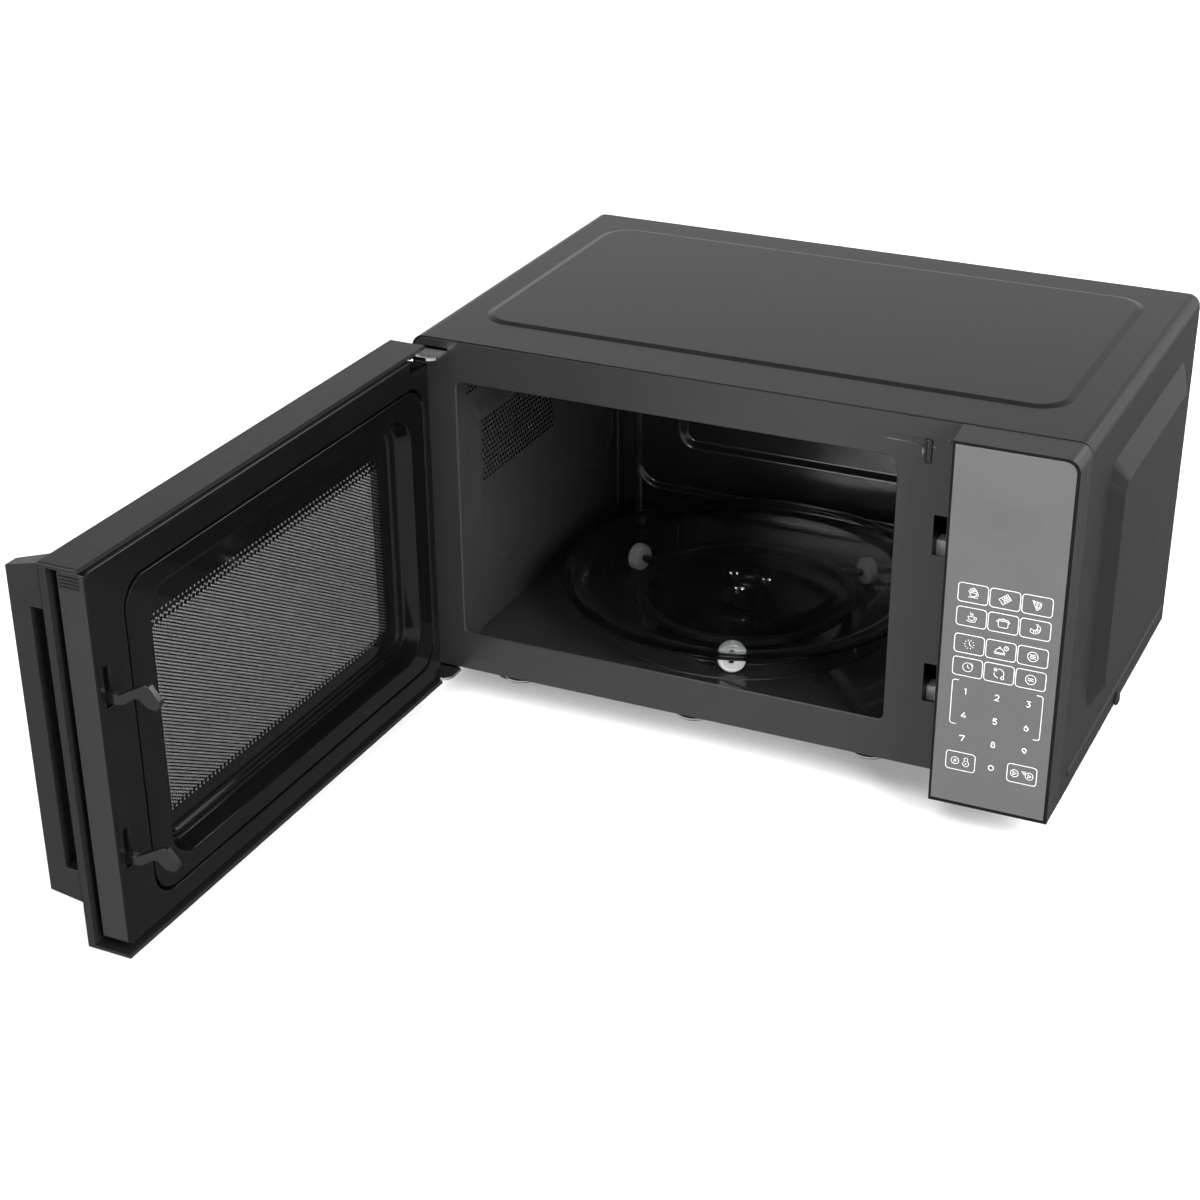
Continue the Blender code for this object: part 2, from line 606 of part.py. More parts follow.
def handle(plastic):
    """An upright bar on two feet, narrower in front than where it meets the door."""
    outer, inner = -49.3, -DOOR_THICK - GAP
    back = rounded((343.5, DOOR_LENGTH - 0.4), (46.5, 254.6), 0)
    front = rounded((349.0, DOOR_LENGTH - 0.4), (49.6, 249.6), 0)
    bar = door_loft([(back, inner), (front, outer)])
    cut(bar, door_box((330, 370), (-36.3, -20), (67.5, 228)))
    return node("door_handle", bar, plastic)


def hook_outline(base):
    """One hook in (v, z), from its underside round to its top, where it leaves the bar."""
    steps = ((-4.0, 0.0), (5.2, 0.3), (13.4, 5.6), (17.3, 6.9), (20.0, 5.4), (25.2, 0.9), (30.8, 2.6),
             (33.0, 7.3), (27.6, 15.2), (24.9, 16.5), (14.0, 14.6), (2.9, 10.2), (-4.0, 10.2))
    return [(v, base + z) for v, z in steps]


def latch_lever(plastic):
    low, high = PLATE_BOTTOM + 38, PLATE_BOTTOM + 186
    outline = [(-12, low), (-4, low)]
    for base in HOOK_Z:
        outline += hook_outline(PLATE_BOTTOM + base)
    outline += [(-4, high), (-12, high)]
    local = [(v - HINGE_V, z) for v, z in outline]
    lever = prism("x", local, HOOK_U[0] - HINGE_U, HOOK_U[1] - HINGE_U)
    return node("latch_lever", lever, plastic)


def latch_spring(steel):
    """The extension spring that pulls the lever down, hung between it and the frame."""
    turns, per_turn, radius = 7, 10, 2.6
    low, high = PLATE_BOTTOM + 12, PLATE_BOTTOM + 37
    centre = (HOOK_U[0] + 2 - HINGE_U, -8 - HINGE_V)
    curve = bpy.data.curves.new("latch_spring", "CURVE")
    curve.dimensions = "3D"
    curve.bevel_depth = 0.45 * MM
    curve.bevel_resolution = 1
    curve.use_fill_caps = True
    spline = curve.splines.new("POLY")
    count = turns * per_turn + 1
    spline.points.add(count - 1)
    for i, point in enumerate(spline.points):
        t = 2 * math.pi * i / per_turn
        z = low + (high - low) * i / (count - 1)
        spot = Vector((centre[0] + radius * math.cos(t), centre[1] + radius * math.sin(t), z)) * MM
        point.co = (*spot, 1)
    obj = bpy.data.objects.new("latch_spring", curve)
    bpy.context.scene.collection.objects.link(obj)
    return node("latch_spring", obj, steel)


def hang_door(parts):
    """Hangs the door's parts on an empty that stands on the hinge axis, turned to its open angle."""
    hinge = bpy.data.objects.new("door_hinge_axis", None)
    bpy.context.scene.collection.objects.link(hinge)
    hinge.location = Vector((HINGE_X, HINGE_Y, 0)) * MM
    hinge.rotation_euler = (0, 0, -math.radians(OPEN_ANGLE))
    for part in parts:
        part.parent = hinge
        follow_cutters(part, hinge)


def follow_cutters(part, hinge):
    for modifier in part.modifiers:
        if modifier.type == "BOOLEAN" and modifier.object.parent is None:
            modifier.object.parent = hinge
            follow_cutters(modifier.object, hinge)


# ---------------------------------------------------------------- assembly

def centre_on_origin():
    """Moves the whole model so that the middle of its footprint is the origin."""
    bpy.context.view_layer.update()
    graph = bpy.context.evaluated_depsgraph_get()
    corners = []
    for obj in bpy.context.scene.objects:
        if obj.hide_render or obj.type == "EMPTY":
            continue
        evaluated = obj.evaluated_get(graph)
        mesh = evaluated.to_mesh()
        corners += [evaluated.matrix_world @ vertex.co for vertex in mesh.vertices]
        evaluated.to_mesh_clear()
    middle = [(min(c[i] for c in corners) + max(c[i] for c in corners)) / 2 for i in (0, 1)]
    for obj in bpy.context.scene.objects:
        if obj.parent is None:
            obj.location = obj.location - Vector((*middle, 0))


def main():
    clear_scene()
    bpy.context.scene.unit_settings.scale_length = 1.0
    satin_black = paint("satin_black_steel", (0.035, 0.035, 0.036), 0.45, 0.2)
    enamel = paint("dark_enamel", (0.02, 0.02, 0.021), 0.3)
    black = paint("black_plastic", (0.02, 0.02, 0.021), 0.4)
    gloss = paint("gloss_black", (0.008, 0.008, 0.008), 0.15)
    galvanised = paint("galvanised_steel", (0.6, 0.6, 0.61), 0.35, 1.0)
    bright = paint("bright_steel", (0.7, 0.7, 0.72), 0.25, 1.0)
    white = paint("white_plastic", (0.85, 0.85, 0.83), 0.4)
    mirror = paint("grey_mirror_glass", (0.22, 0.22, 0.22), 0.1)
    clear = paint("clear_glass", (0.8, 0.85, 0.85), 0.05)
    film = paint("clear_film", (0.7, 0.7, 0.7), 0.2)
    rubber = paint("black_rubber", (0.03, 0.03, 0.03), 0.8)
    copper = paint("copper_winding", (0.72, 0.36, 0.18), 0.35, 1.0)
    green = paint("circuit_board", (0.05, 0.25, 0.1), 0.5)
    ceramic = paint("pink_ceramic", (0.8, 0.62, 0.6), 0.4)
    mica = paint("mica_sheet", (0.55, 0.48, 0.38), 0.5)
    aluminium = paint("fin_aluminium", (0.75, 0.75, 0.76), 0.35, 1.0)

    outer_cover(satin_black)
    front_plate(satin_black)
    cavity(enamel)
    base_plate(galvanised)
    rear_panel(galvanised)
    feet(rubber)
    panel_parts(black, mirror, film, green, gloss)
    turntable(white, clear, black, galvanised)
    latch_works(white, black)
    magnetron_works(galvanised, aluminium, ceramic, mica)
    power_works(galvanised, copper, black, green)
    lamp(white, clear)
    fan_works(black, galvanised)
    small_fittings(black, rubber, bright)
    hinge_bracket("hinge_bracket_upper", TAB_UPPER, (TAB_UPPER[0] - 2, DOOR_Z[1] - 2.9), (228, 249.5), bright)
    hinge_bracket("hinge_bracket_lower", TAB_LOWER, (TAB_LOWER[0], 28.4), (20.4, 44), bright)
    hang_door([door_frame(black), door_glass(gloss), choke_cover(gloss), door_panel(enamel),
               door_film(film), handle(black), latch_lever(gloss), latch_spring(bright)])
    centre_on_origin()


main()
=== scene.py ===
"""The looks of a countertop microwave oven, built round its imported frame.

Shapes are written in millimetres in one of two spaces and moved into the frame's metres by a
matrix: CABINET has x from the cover's left side, y from its front edge to the back and z up;
DOOR has u along the door from its hinge end, v 0 on the inner face and negative outwards, z up.
"""

import json
import math

import bmesh
import bpy
from mathutils import Matrix, Vector


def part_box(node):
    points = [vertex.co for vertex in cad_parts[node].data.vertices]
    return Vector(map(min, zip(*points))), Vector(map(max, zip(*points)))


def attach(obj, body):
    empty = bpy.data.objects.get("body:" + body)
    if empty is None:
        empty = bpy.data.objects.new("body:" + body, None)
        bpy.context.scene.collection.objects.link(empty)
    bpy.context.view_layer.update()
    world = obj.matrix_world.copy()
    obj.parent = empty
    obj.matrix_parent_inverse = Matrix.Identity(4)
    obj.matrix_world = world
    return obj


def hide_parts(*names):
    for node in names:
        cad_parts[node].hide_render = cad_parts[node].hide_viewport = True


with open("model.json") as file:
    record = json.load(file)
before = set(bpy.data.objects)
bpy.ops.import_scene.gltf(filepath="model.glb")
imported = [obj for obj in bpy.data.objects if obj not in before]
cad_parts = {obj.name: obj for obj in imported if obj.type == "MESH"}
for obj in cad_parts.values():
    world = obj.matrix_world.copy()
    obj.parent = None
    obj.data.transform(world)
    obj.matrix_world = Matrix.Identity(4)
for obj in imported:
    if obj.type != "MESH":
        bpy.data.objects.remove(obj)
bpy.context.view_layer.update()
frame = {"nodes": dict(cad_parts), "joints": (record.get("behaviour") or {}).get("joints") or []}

MM = 0.001


# ---- spaces

HINGE_U, HINGE_V = 2.4, -13.3


def cabinet_space():
    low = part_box("outer_cover")[0]
    return Matrix.Translation((low.x, low.y, 0)) @ Matrix.Scale(MM, 4)


def door_space():
    """The door rests open by the hinge's upper limit."""
    hinge = next(j for j in frame["joints"] if j["name"] == "door_hinge")
    axis = Vector((hinge["pos_m"][0], hinge["pos_m"][1], 0))
    turn = Matrix.Rotation(-math.radians(hinge["range_deg"][1]), 4, "Z")
    return Matrix.Translation(axis) @ turn @ Matrix.Scale(MM, 4) @ Matrix.Translation((-HINGE_U, -HINGE_V, 0))


CABINET, DOOR = cabinet_space(), door_space()


def span(node):
    """The node's lowest and highest x, y and z in the cabinet's space, in millimetres."""
    back = CABINET.inverted()
    points = [back @ v.co for v in frame["nodes"][node].data.vertices]
    return [(min(p[i] for p in points), max(p[i] for p in points)) for i in range(3)]


# ---- building blocks, in millimetres

def linked(name, data):
    obj = bpy.data.objects.new(name, data)
    bpy.context.scene.collection.objects.link(obj)
    return obj


def mesh_from(bm, name):
    mesh = bpy.data.meshes.new(name)
    bm.to_mesh(mesh)
    bm.free()
    return mesh


def obj_from(bm):
    bmesh.ops.remove_doubles(bm, verts=bm.verts, dist=1e-4)
    bmesh.ops.recalc_face_normals(bm, faces=bm.faces)
    return linked("work", mesh_from(bm, "work"))


def box(x, y, z):
    bm = bmesh.new()
    c = [bm.verts.new((x[i], y[j], z[k])) for k in (0, 1) for j in (0, 1) for i in (0, 1)]
    for quad in ((0, 2, 3, 1), (4, 5, 7, 6), (0, 1, 5, 4), (2, 6, 7, 3), (0, 4, 6, 2), (1, 3, 7, 5)):
        bm.faces.new([c[i] for i in quad])
    return obj_from(bm)


def place(axis, a, b, c):
    return {"x": (c, a, b), "y": (a, c, b), "z": (a, b, c)}[axis]


def loft(axis, sections, ends=True):
    """A skin through outlines of equal length, each given with its place along the axis."""
    bm = bmesh.new()
    rings = [[bm.verts.new(place(axis, a, b, c)) for a, b in outline] for outline, c in sections]
    for low, high in zip(rings, rings[1:]):
        for i in range(len(low)):
            j = (i + 1) % len(low)
            bm.faces.new((low[i], low[j], high[j], high[i]))
    if ends:
        bm.faces.new(rings[0])
        bm.faces.new(rings[-1])
    return obj_from(bm)


def prism(axis, outline, low, high):
    return loft(axis, [(outline, low), (outline, high)])


def arc(cx, cy, radius, start, stop, steps):
    angles = [math.radians(start + (stop - start) * i / steps) for i in range(steps + 1)]
    return [(cx + radius * math.cos(t), cy + radius * math.sin(t)) for t in angles]


def rounded(a, b, radii, steps=8, grow=0.0):
    """A rectangle's outline, made larger all round by grow.

    radii is one number, or four from the low-low corner anticlockwise; 0 is a square corner.
    """
    (a0, a1), (b0, b1) = (a[0] - grow, a[1] + grow), (b[0] - grow, b[1] + grow)
    if not isinstance(radii, tuple):
        radii = (radii,) * 4
    outline = []
    corners = ((a0, b0, 180, 1, 1), (a1, b0, 270, -1, 1), (a1, b1, 0, -1, -1), (a0, b1, 90, 1, -1))
    for (ca, cb, start, sa, sb), radius in zip(corners, radii):
        if radius <= 0:
            outline.append((ca, cb))
        else:
            outline += arc(ca + sa * radius, cb + sb * radius, radius, start, start + 90, steps)
    return outline


def circle(centre, radius, segments=32):
    return [(centre[0] + radius * math.cos(2 * math.pi * i / segments),
             centre[1] + radius * math.sin(2 * math.pi * i / segments)) for i in range(segments)]


def cylinder(axis, centre, radius, low, high, segments=32):
    return prism(axis, circle(centre, radius, segments), low, high)


def stepped(axis, centre, steps, segments):
    """A round solid from (radius, place along the axis) steps."""
    return loft(axis, [(circle(centre, radius, segments), at) for radius, at in steps])


def eased(t):
    """0 to 1 with a soft start and stop."""
    return 3 * t ** 2 - 2 * t ** 3


def turned(profile, centre, segments=64):
    """A solid turned about the vertical line through centre, from a closed (radius, z) profile."""
    bm = bmesh.new()
    rings = []
    for i in range(segments):
        t = 2 * math.pi * i / segments
        rings.append([bm.verts.new((centre[0] + r * math.cos(t), centre[1] + r * math.sin(t), z))
                      for r, z in profile])
    for here, there in zip(rings, rings[1:] + rings[:1]):
        for j in range(len(profile)):
            k = (j + 1) % len(profile)
            if profile[j][0] > 0 or profile[k][0] > 0:
                bm.faces.new((here[j], there[j], there[k], here[k]))
    bmesh.ops.remove_doubles(bm, verts=bm.verts, dist=1e-4)
    bmesh.ops.dissolve_degenerate(bm, edges=bm.edges, dist=1e-5)
    return obj_from(bm)


def settle(obj):
    """Applies an object's modifiers."""
    bpy.context.view_layer.update()
    graph = bpy.context.evaluated_depsgraph_get()
    mesh = bpy.data.meshes.new_from_object(obj.evaluated_get(graph))
    obj.modifiers.clear()
    old, obj.data = obj.data, mesh
    bpy.data.meshes.remove(old)


def boolean(target, operation, others):
    for other in others:
        modifier = target.modifiers.new("b", "BOOLEAN")
        modifier.operation = operation
        modifier.solver = "EXACT"
        modifier.object = other
    settle(target)
    for other in others:
        bpy.data.objects.remove(other, do_unlink=True)


def add(target, *others):
    boolean(target, "UNION", others)


def cut(target, *others):
    boolean(target, "DIFFERENCE", others)


def join(*objs):
    """One object from several that don't meet."""
    bm = bmesh.new()
    for obj in objs:
        bm.from_mesh(obj.data)
        bpy.data.objects.remove(obj, do_unlink=True)
    return linked("joined", mesh_from(bm, "joined"))


def edged(obj, width, segments, angle):
    """Welds an object's vertices and rounds the edges sharper than an angle."""
    bm = bmesh.new()
    bm.from_mesh(obj.data)
    bmesh.ops.remove_doubles(bm, verts=bm.verts, dist=2e-4)
    bm.to_mesh(obj.data)
    bm.free()
    if width:
        bevel = obj.modifiers.new("bevel", "BEVEL")
        bevel.width, bevel.segments = width, segments
        bevel.limit_method, bevel.angle_limit = "ANGLE", math.radians(angle)
        bevel.miter_outer = "MITER_ARC"
        settle(obj)


def smooth(obj, angle):
    """Smooth shading up to an angle, weighted so that large flats stay flat."""
    obj.data.shade_smooth()
    obj.data.set_sharp_from_angle(angle=math.radians(angle))
    normals = obj.modifiers.new("normals", "WEIGHTED_NORMAL")
    normals.keep_sharp = True
    normals.weight = 80
    settle(obj)


def made(name, obj, material, stands_for=(), body="cabinet", bevel=0.3, segments=3, angle=32, sharp=45):
    """Finishes a shape into a visible piece that rides on a body.

    bevel, segments and angle are the edges' rounding, sharp is the shading's angle. Shapes of
    the door and the latch are in the door's space, all others in the cabinet's.
    """
    edged(obj, bevel, segments, angle)
    smooth(obj, sharp)
    obj.name = name
    obj.data.name = name
    obj.data.transform(DOOR if body in ("door", "latch") else CABINET)
    obj.data.materials.clear()
    obj.data.materials.append(material)
    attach(obj, body)
    if stands_for:
        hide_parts(*stands_for)


# ---- materials

def texture(nodes, links, vector, kind, size, axis="Z"):
    """A texture's 0..1 output at a scale given as the real size of its pattern, in metres."""
    if kind == "waves":
        node = nodes.new("ShaderNodeTexWave")
        node.bands_direction = axis
        node.inputs["Scale"].default_value = 0.314 / size
        node.inputs["Distortion"].default_value = 0.3
        node.inputs["Detail Scale"].default_value = 4.0
        output = node.outputs["Fac"]
    elif kind in ("cells", "flakes"):
        node = nodes.new("ShaderNodeTexVoronoi")
        node.inputs["Scale"].default_value = 1 / size
        output = node.outputs["Distance"]
        if kind == "flakes":
            split = nodes.new("ShaderNodeSeparateColor")
            links.new(node.outputs["Color"], split.inputs[0])
            output = split.outputs[0]
    else:
        node = nodes.new("ShaderNodeTexNoise")
        node.inputs["Scale"].default_value = 1 / size
        node.inputs["Detail"].default_value = 4.0 if kind == "noise" else 8.0
        node.inputs["Roughness"].default_value = 0.55 if kind == "noise" else 0.7
        output = node.outputs["Fac"]
    links.new(vector, node.inputs["Vector"])
    return output


def ranged(nodes, links, value, low, high, source=(0.3, 0.7)):
    node = nodes.new("ShaderNodeMapRange")
    node.inputs["From Min"].default_value, node.inputs["From Max"].default_value = source
    node.inputs["To Min"].default_value, node.inputs["To Max"].default_value = low, high
    links.new(value, node.inputs["Value"])
    return node.outputs["Result"]


def look(name, colour, roughness, metallic=0.0, tint=(0.12, 0.03), second=None, spread=(0.06, 0.008),
         bumps=(), stretch=(1, 1, 1), **sockets):
    """A surface whose colour and roughness vary and whose relief is procedural.

    tint is the swing of the colour, (amount, size) or (amount, size, kind); second, if given, is
    the other end of that swing. spread is the same for the roughness. bumps are
    (kind, size, depth) or (kind, size, depth, axis). Sizes and depths are in metres.
    """
    tint, tint_size, tint_kind = (*tint, "noise")[:3]
    spread, spread_size, spread_kind = (*spread, "noise")[:3]
    material = bpy.data.materials.new(name)
    material.use_nodes = True
    nodes, links = material.node_tree.nodes, material.node_tree.links
    shader = nodes["Principled BSDF"]
    coordinates = nodes.new("ShaderNodeTexCoord")
    mapping = nodes.new("ShaderNodeMapping")
    mapping.inputs["Scale"].default_value = stretch
    links.new(coordinates.outputs["Object"], mapping.inputs["Vector"])
    vector = mapping.outputs["Vector"]

    swing = nodes.new("ShaderNodeMix")
    swing.data_type = "RGBA"
    swing.inputs["A"].default_value = (*[c * (1 - tint) for c in colour], 1)
    swing.inputs["B"].default_value = (*(second or [min(1.0, c * (1 + tint)) for c in colour]), 1)
    source = (0.3, 0.7) if tint_kind in ("noise", "fine") else (0.0, 1.0)
    factor = ranged(nodes, links, texture(nodes, links, vector, tint_kind, tint_size), 0, 1, source)
    links.new(factor, swing.inputs["Factor"])
    links.new(swing.outputs["Result"], shader.inputs["Base Color"])

    rough = texture(nodes, links, vector, spread_kind, spread_size)
    links.new(ranged(nodes, links, rough, max(0.02, roughness - spread), roughness + spread),
              shader.inputs["Roughness"])
    shader.inputs["Metallic"].default_value = metallic
    normal = None
    for kind, size, depth, *axis in bumps:
        bump = nodes.new("ShaderNodeBump")
        bump.inputs["Distance"].default_value = depth
        links.new(texture(nodes, links, vector, kind, size, *axis), bump.inputs["Height"])
        if normal:
            links.new(normal, bump.inputs["Normal"])
        normal = bump.outputs["Normal"]
    if normal:
        links.new(normal, shader.inputs["Normal"])
    for socket, value in sockets.items():
        shader.inputs[socket.replace("_", " ").title().replace("Ior", "IOR")].default_value = value
    return material


POWDER = [("noise", 0.0012, 6e-6), ("fine", 0.0004, 2e-6)]
GRAIN = [("cells", 0.0006, 1.2e-5), ("fine", 0.0003, 3e-6)]
COVER = look("powder_coat", (0.0070, 0.0070, 0.0072), 0.30, specular_ior_level=0.25, tint=(0.03, 0.08),
             spread=(0.02, 0.003), bumps=POWDER)
PLATE = look("powder_coat_front", (0.017, 0.017, 0.0173), 0.34, specular_ior_level=0.56, tint=(0.03, 0.06),
             spread=(0.02, 0.003), bumps=POWDER)
ENAMEL = look("cavity_enamel", (0.019, 0.019, 0.0193), 0.17, tint=(0.05, 0.03), spread=(0.02, 0.008),
              specular_ior_level=0.4, bumps=[("noise", 0.004, 4e-6)])
DOOR_ENAMEL = look("door_enamel", (0.002, 0.002, 0.0021), 0.07, tint=(0.1, 0.02), spread=(0.01, 0.008),
                   specular_ior_level=0.26, bumps=[("noise", 0.005, 2e-6)])
BLACK = look("grained_black", (0.009, 0.009, 0.0092), 0.38, tint=(0.04, 0.02), spread=(0.03, 0.008),
             specular_ior_level=0.34, bumps=GRAIN)
HOUSING = look("housing_black", (0.011, 0.011, 0.0113), 0.36, tint=(0.04, 0.02), spread=(0.03, 0.008),
               specular_ior_level=0.36, bumps=GRAIN)
GLOSS = look("gloss_black", (0.003, 0.003, 0.0031), 0.16, tint=(0.1, 0.02), spread=(0.02, 0.008),
             specular_ior_level=0.19, bumps=[("noise", 0.005, 3e-6)])
# the surround's end wall: real grain and matt finish, with a colour lighter than the surround's own black as
# painted light on that side
END_WALL_PAINTED_LIGHT = look("grained_end_wall_painted_light", (0.017, 0.017, 0.0173), 0.40, tint=(0.05, 0.02), spread=(0.03, 0.008),
                specular_ior_level=0.38, bumps=GRAIN)
HOOK = look("hook_black", (0.006, 0.006, 0.0062), 0.12, tint=(0.05, 0.01), spread=(0.03, 0.008),
            bumps=[("noise", 0.003, 4e-6)])
MIRROR = look("panel_mirror", (0.19, 0.19, 0.192), 0.22, 0.85, tint=(0.05, 0.05), spread=(0.03, 0.008),
              coat_weight=1.0, coat_roughness=0.03)
WINDOW = look("display_mirror", (0.181, 0.181, 0.183), 0.24, 0.85, tint=(0.05, 0.05), spread=(0.03, 0.008),
              coat_weight=1.0, coat_roughness=0.03)
GASKET = look("gasket_black", (0.004, 0.004, 0.0041), 0.5, tint=(0.1, 0.004), spread=(0.05, 0.008),
              specular_ior_level=0.15)
PRINT = look("panel_print", (0.64, 0.64, 0.63), 0.5, tint=(0.05, 0.004), spread=(0.06, 0.008))
CLEAR = look("tray_glass", (0.90, 0.93, 0.925), 0.05, tint=(0.02, 0.05), spread=(0.03, 0.02),
             transmission_weight=1.0, ior=1.5)
FILM = look("door_film", (0.55, 0.56, 0.56), 0.12, tint=(0.05, 0.03), spread=(0.04, 0.008), alpha=0.06)
DARK_GLASS = look("door_glass", (0.006, 0.006, 0.0065), 0.07, tint=(0.1, 0.05), spread=(0.03, 0.02),
                  alpha=0.55)
ZINC = look("zinc_plate", (0.56, 0.57, 0.58), 0.40, 1.0, tint=(0.05, 0.0035, "flakes"),
            spread=(0.04, 0.0035, "flakes"), bumps=[("fine", 0.0008, 1e-5)])
BRIGHT = look("nickel_plate", (0.68, 0.68, 0.69), 0.2, 1.0, tint=(0.06, 0.004), spread=(0.08, 0.001),
              bumps=[("fine", 0.0006, 1e-5)], stretch=(1, 1, 6))
WHITE = look("white_nylon", (0.68, 0.68, 0.665), 0.42, tint=(0.05, 0.006), bumps=[("fine", 0.0008, 1e-5)])
RUBBER = look("black_rubber", (0.028, 0.028, 0.028), 0.78, tint=(0.25, 0.004), bumps=[("fine", 0.0006, 4e-5)])
COPPER = look("copper_winding", (0.60, 0.27, 0.12), 0.34, 1.0, tint=(0.25, 0.002),
              bumps=[("waves", 0.0009, 0.0003, "Z")])
BOARD = look("circuit_board", (0.022, 0.13, 0.055), 0.42, tint=(0.2, 0.004, "flakes"),
             second=(0.05, 0.22, 0.09), bumps=[("cells", 0.003, 0.0001), ("fine", 0.0008, 2e-5)])
CERAMIC = look("pink_ceramic", (0.72, 0.53, 0.50), 0.35, tint=(0.06, 0.004), bumps=[("fine", 0.0012, 2e-5)])
MICA = look("mica_sheet", (0.40, 0.34, 0.26), 0.42, tint=(0.3, 0.006, "flakes"), second=(0.58, 0.52, 0.42),
            spread=(0.15, 0.005, "flakes"), bumps=[("fine", 0.003, 5e-5)])
FINS = look("bare_aluminium", (0.72, 0.72, 0.73), 0.34, 1.0, tint=(0.08, 0.01), spread=(0.1, 0.002),
            bumps=[("fine", 0.0006, 1e-5)], stretch=(1, 8, 1))
CORE = look("laminated_core", (0.34, 0.34, 0.36), 0.45, 1.0, tint=(0.2, 0.01),
            bumps=[("waves", 0.0007, 0.00025, "Y")])


# ---- cabinet shells

WIDTH, DEPTH, TOP = 440.0, 276.0, 257.0
BASE = 18.4
CORNER = 8.4
SHEET = 1


def side_bulge(shrink):
    base = rounded((50, 250), (55, 223), 14, grow=-shrink)
    top = rounded((68, 234), (66, 206), 10, grow=-shrink)
    return loft("x", [(base, WIDTH - 3), (base, WIDTH - shrink), (top, WIDTH - shrink + 6.9)])


def top_field(shrink):
    """The raised field of the top; its edge is a slope with soft ends."""
    sections = []
    slope = ((0, shrink - 3), (0, 0), (0.3, 0.03), (0.8, 0.13), (4.5, 0.98), (4.9, 1.06), (5.4, 1.1))
    for inset, rise in slope:
        inset += shrink
        sections.append((rounded((25.2, 412.5), (37.5, 251.5), 22 - inset, grow=-inset), TOP - shrink + rise))
    return loft("z", sections)


def outer_cover():
    shell = prism("y", rounded((0, WIDTH), (BASE, TOP), (0, 0, CORNER, CORNER), 12), 0, DEPTH)
    inner = CORNER - SHEET
    inside = rounded((SHEET, WIDTH - SHEET), (BASE - 4, TOP - SHEET), (0, 0, inner, inner), 12)
    rib, rib_top = rounded((15, 268), (28, 34), 3, 5), rounded((16.4, 266.6), (29.4, 32.6), 1.6, 5)
    add(shell, side_bulge(0), top_field(0))
    add(shell, loft("x", [(rib, WIDTH - 0.5), (rib, WIDTH), (rib_top, WIDTH + 0.9)]))
    cut(shell, prism("y", inside, -5, DEPTH + 5), side_bulge(SHEET), top_field(SHEET))
    add(shell, *[box(x, (0, DEPTH), (BASE, BASE + SHEET)) for x in ((0.2, 12), (WIDTH - 12, WIDTH - 0.2))])
    slots = [prism("x", rounded((60, 92), (196 + 9 * i, 200 + 9 * i), 1.9, 4), -4, 4) for i in range(6)]
    cut(shell, join(*slots))
    made("cover", shell, COVER, ["outer_cover"], bevel=0.45, angle=18, sharp=50)


OPENING_X, OPENING_Z = (29.8, 324.5), (50.8, 228.8)


def opening(grow):
    return rounded(OPENING_X, OPENING_Z, tuple(r + grow for r in (4, 4, 9, 4.5)), 8, grow)


def pill(x, z, inset=0.0):
    return rounded(x, z, (x[1] - x[0]) / 2 - inset - 0.01, 8, -inset)


def front_plate():
    """A pressed sheet whose outer edge and opening are rolled back."""
    face = 0.6

    def rim(inset):
        return rounded((1.4, WIDTH - 1.4), (23, 255.7), (0, 0, 6.6 - inset, 6.6 - inset), 10, -inset)

    def stack(outline, steps):
        return loft("y", [(outline(inset), face + depth) for inset, depth in steps])

    plate = stack(rim, ((0.4, 0), (0.12, 0.12), (0, 0.4), (0, 10.4)))
    cut(plate, prism("y", rim(1), face + 1, 15))
    cut(plate, stack(opening, ((0.9, -2), (0.9, 0), (0.3, 0.2), (0, 0.7), (0, 6 - face))))
    holes = [box((348.9, 357.1), (-2, 4), z) for z in ((70.4, 96.6), (169.8, 195.9))]
    cut(plate, join(box((7, 25), (-2, 4), (246.5, 250.5)), box((7, 25), (1.7, 15), (20, 26)), *holes))
    for corners in (
        [(302, 240.2), (350, 237.9), (353.4, 239.6), (352.4, 242.8), (302, 244.2)],
        [(302.9, 30.2), (352, 27.6), (355.8, 28.6), (355.0, 31.8), (302.9, 34.6)],
        [(31.1, 34.4), (57.4, 31.6), (58.9, 33.4), (57.9, 35.9), (31.1, 39.0)],
    ):
        middle = [sum(c[k] for c in corners) / len(corners) for k in (0, 1)]
        small = [tuple(c[k] - math.copysign(0.9, c[k] - middle[k]) for k in (0, 1)) for c in corners]
        cut(plate, loft("y", [(corners, face - 1), (corners, face), (small, face + 0.8)]))

    def groove(inset):
        return pill((337.7, 345.6), (226, 243.6), inset)

    def ridge(inset):
        return pill((340.3, 345.3), (226.8, 243.0), inset)

    cut(plate, stack(groove, ((0, -1), (0, 0), (0.9, 0.7))))
    add(plate, stack(ridge, ((0, 0.9), (0, 0.1), (0.3, -0.35), (0.75, -0.5), (1.0, -0.5))))
    cut(plate, stack(ridge, ((1.1, -1), (1.15, -0.5), (1.8, 0.3))))
    dimple = ((1.7, face + 0.4), (1.7, face), (1.45, face - 0.3), (0.8, face - 0.5))
    add(plate, stepped("y", (354.8, 243.3), dimple, 20))
    made("front_plate_visible", plate, PLATE, ["front_plate"], bevel=0, sharp=50)
    for number, bottom in enumerate((70.4, 169.8), 1):
        ledge = prism("y", rounded((343.5, 357.4), (bottom - 8, bottom + 5.2), (0.5, 0.5, 1, 5), 8), 11, 21)
        made(f"latch_ledge_{number}", ledge, WHITE, bevel=0.5)


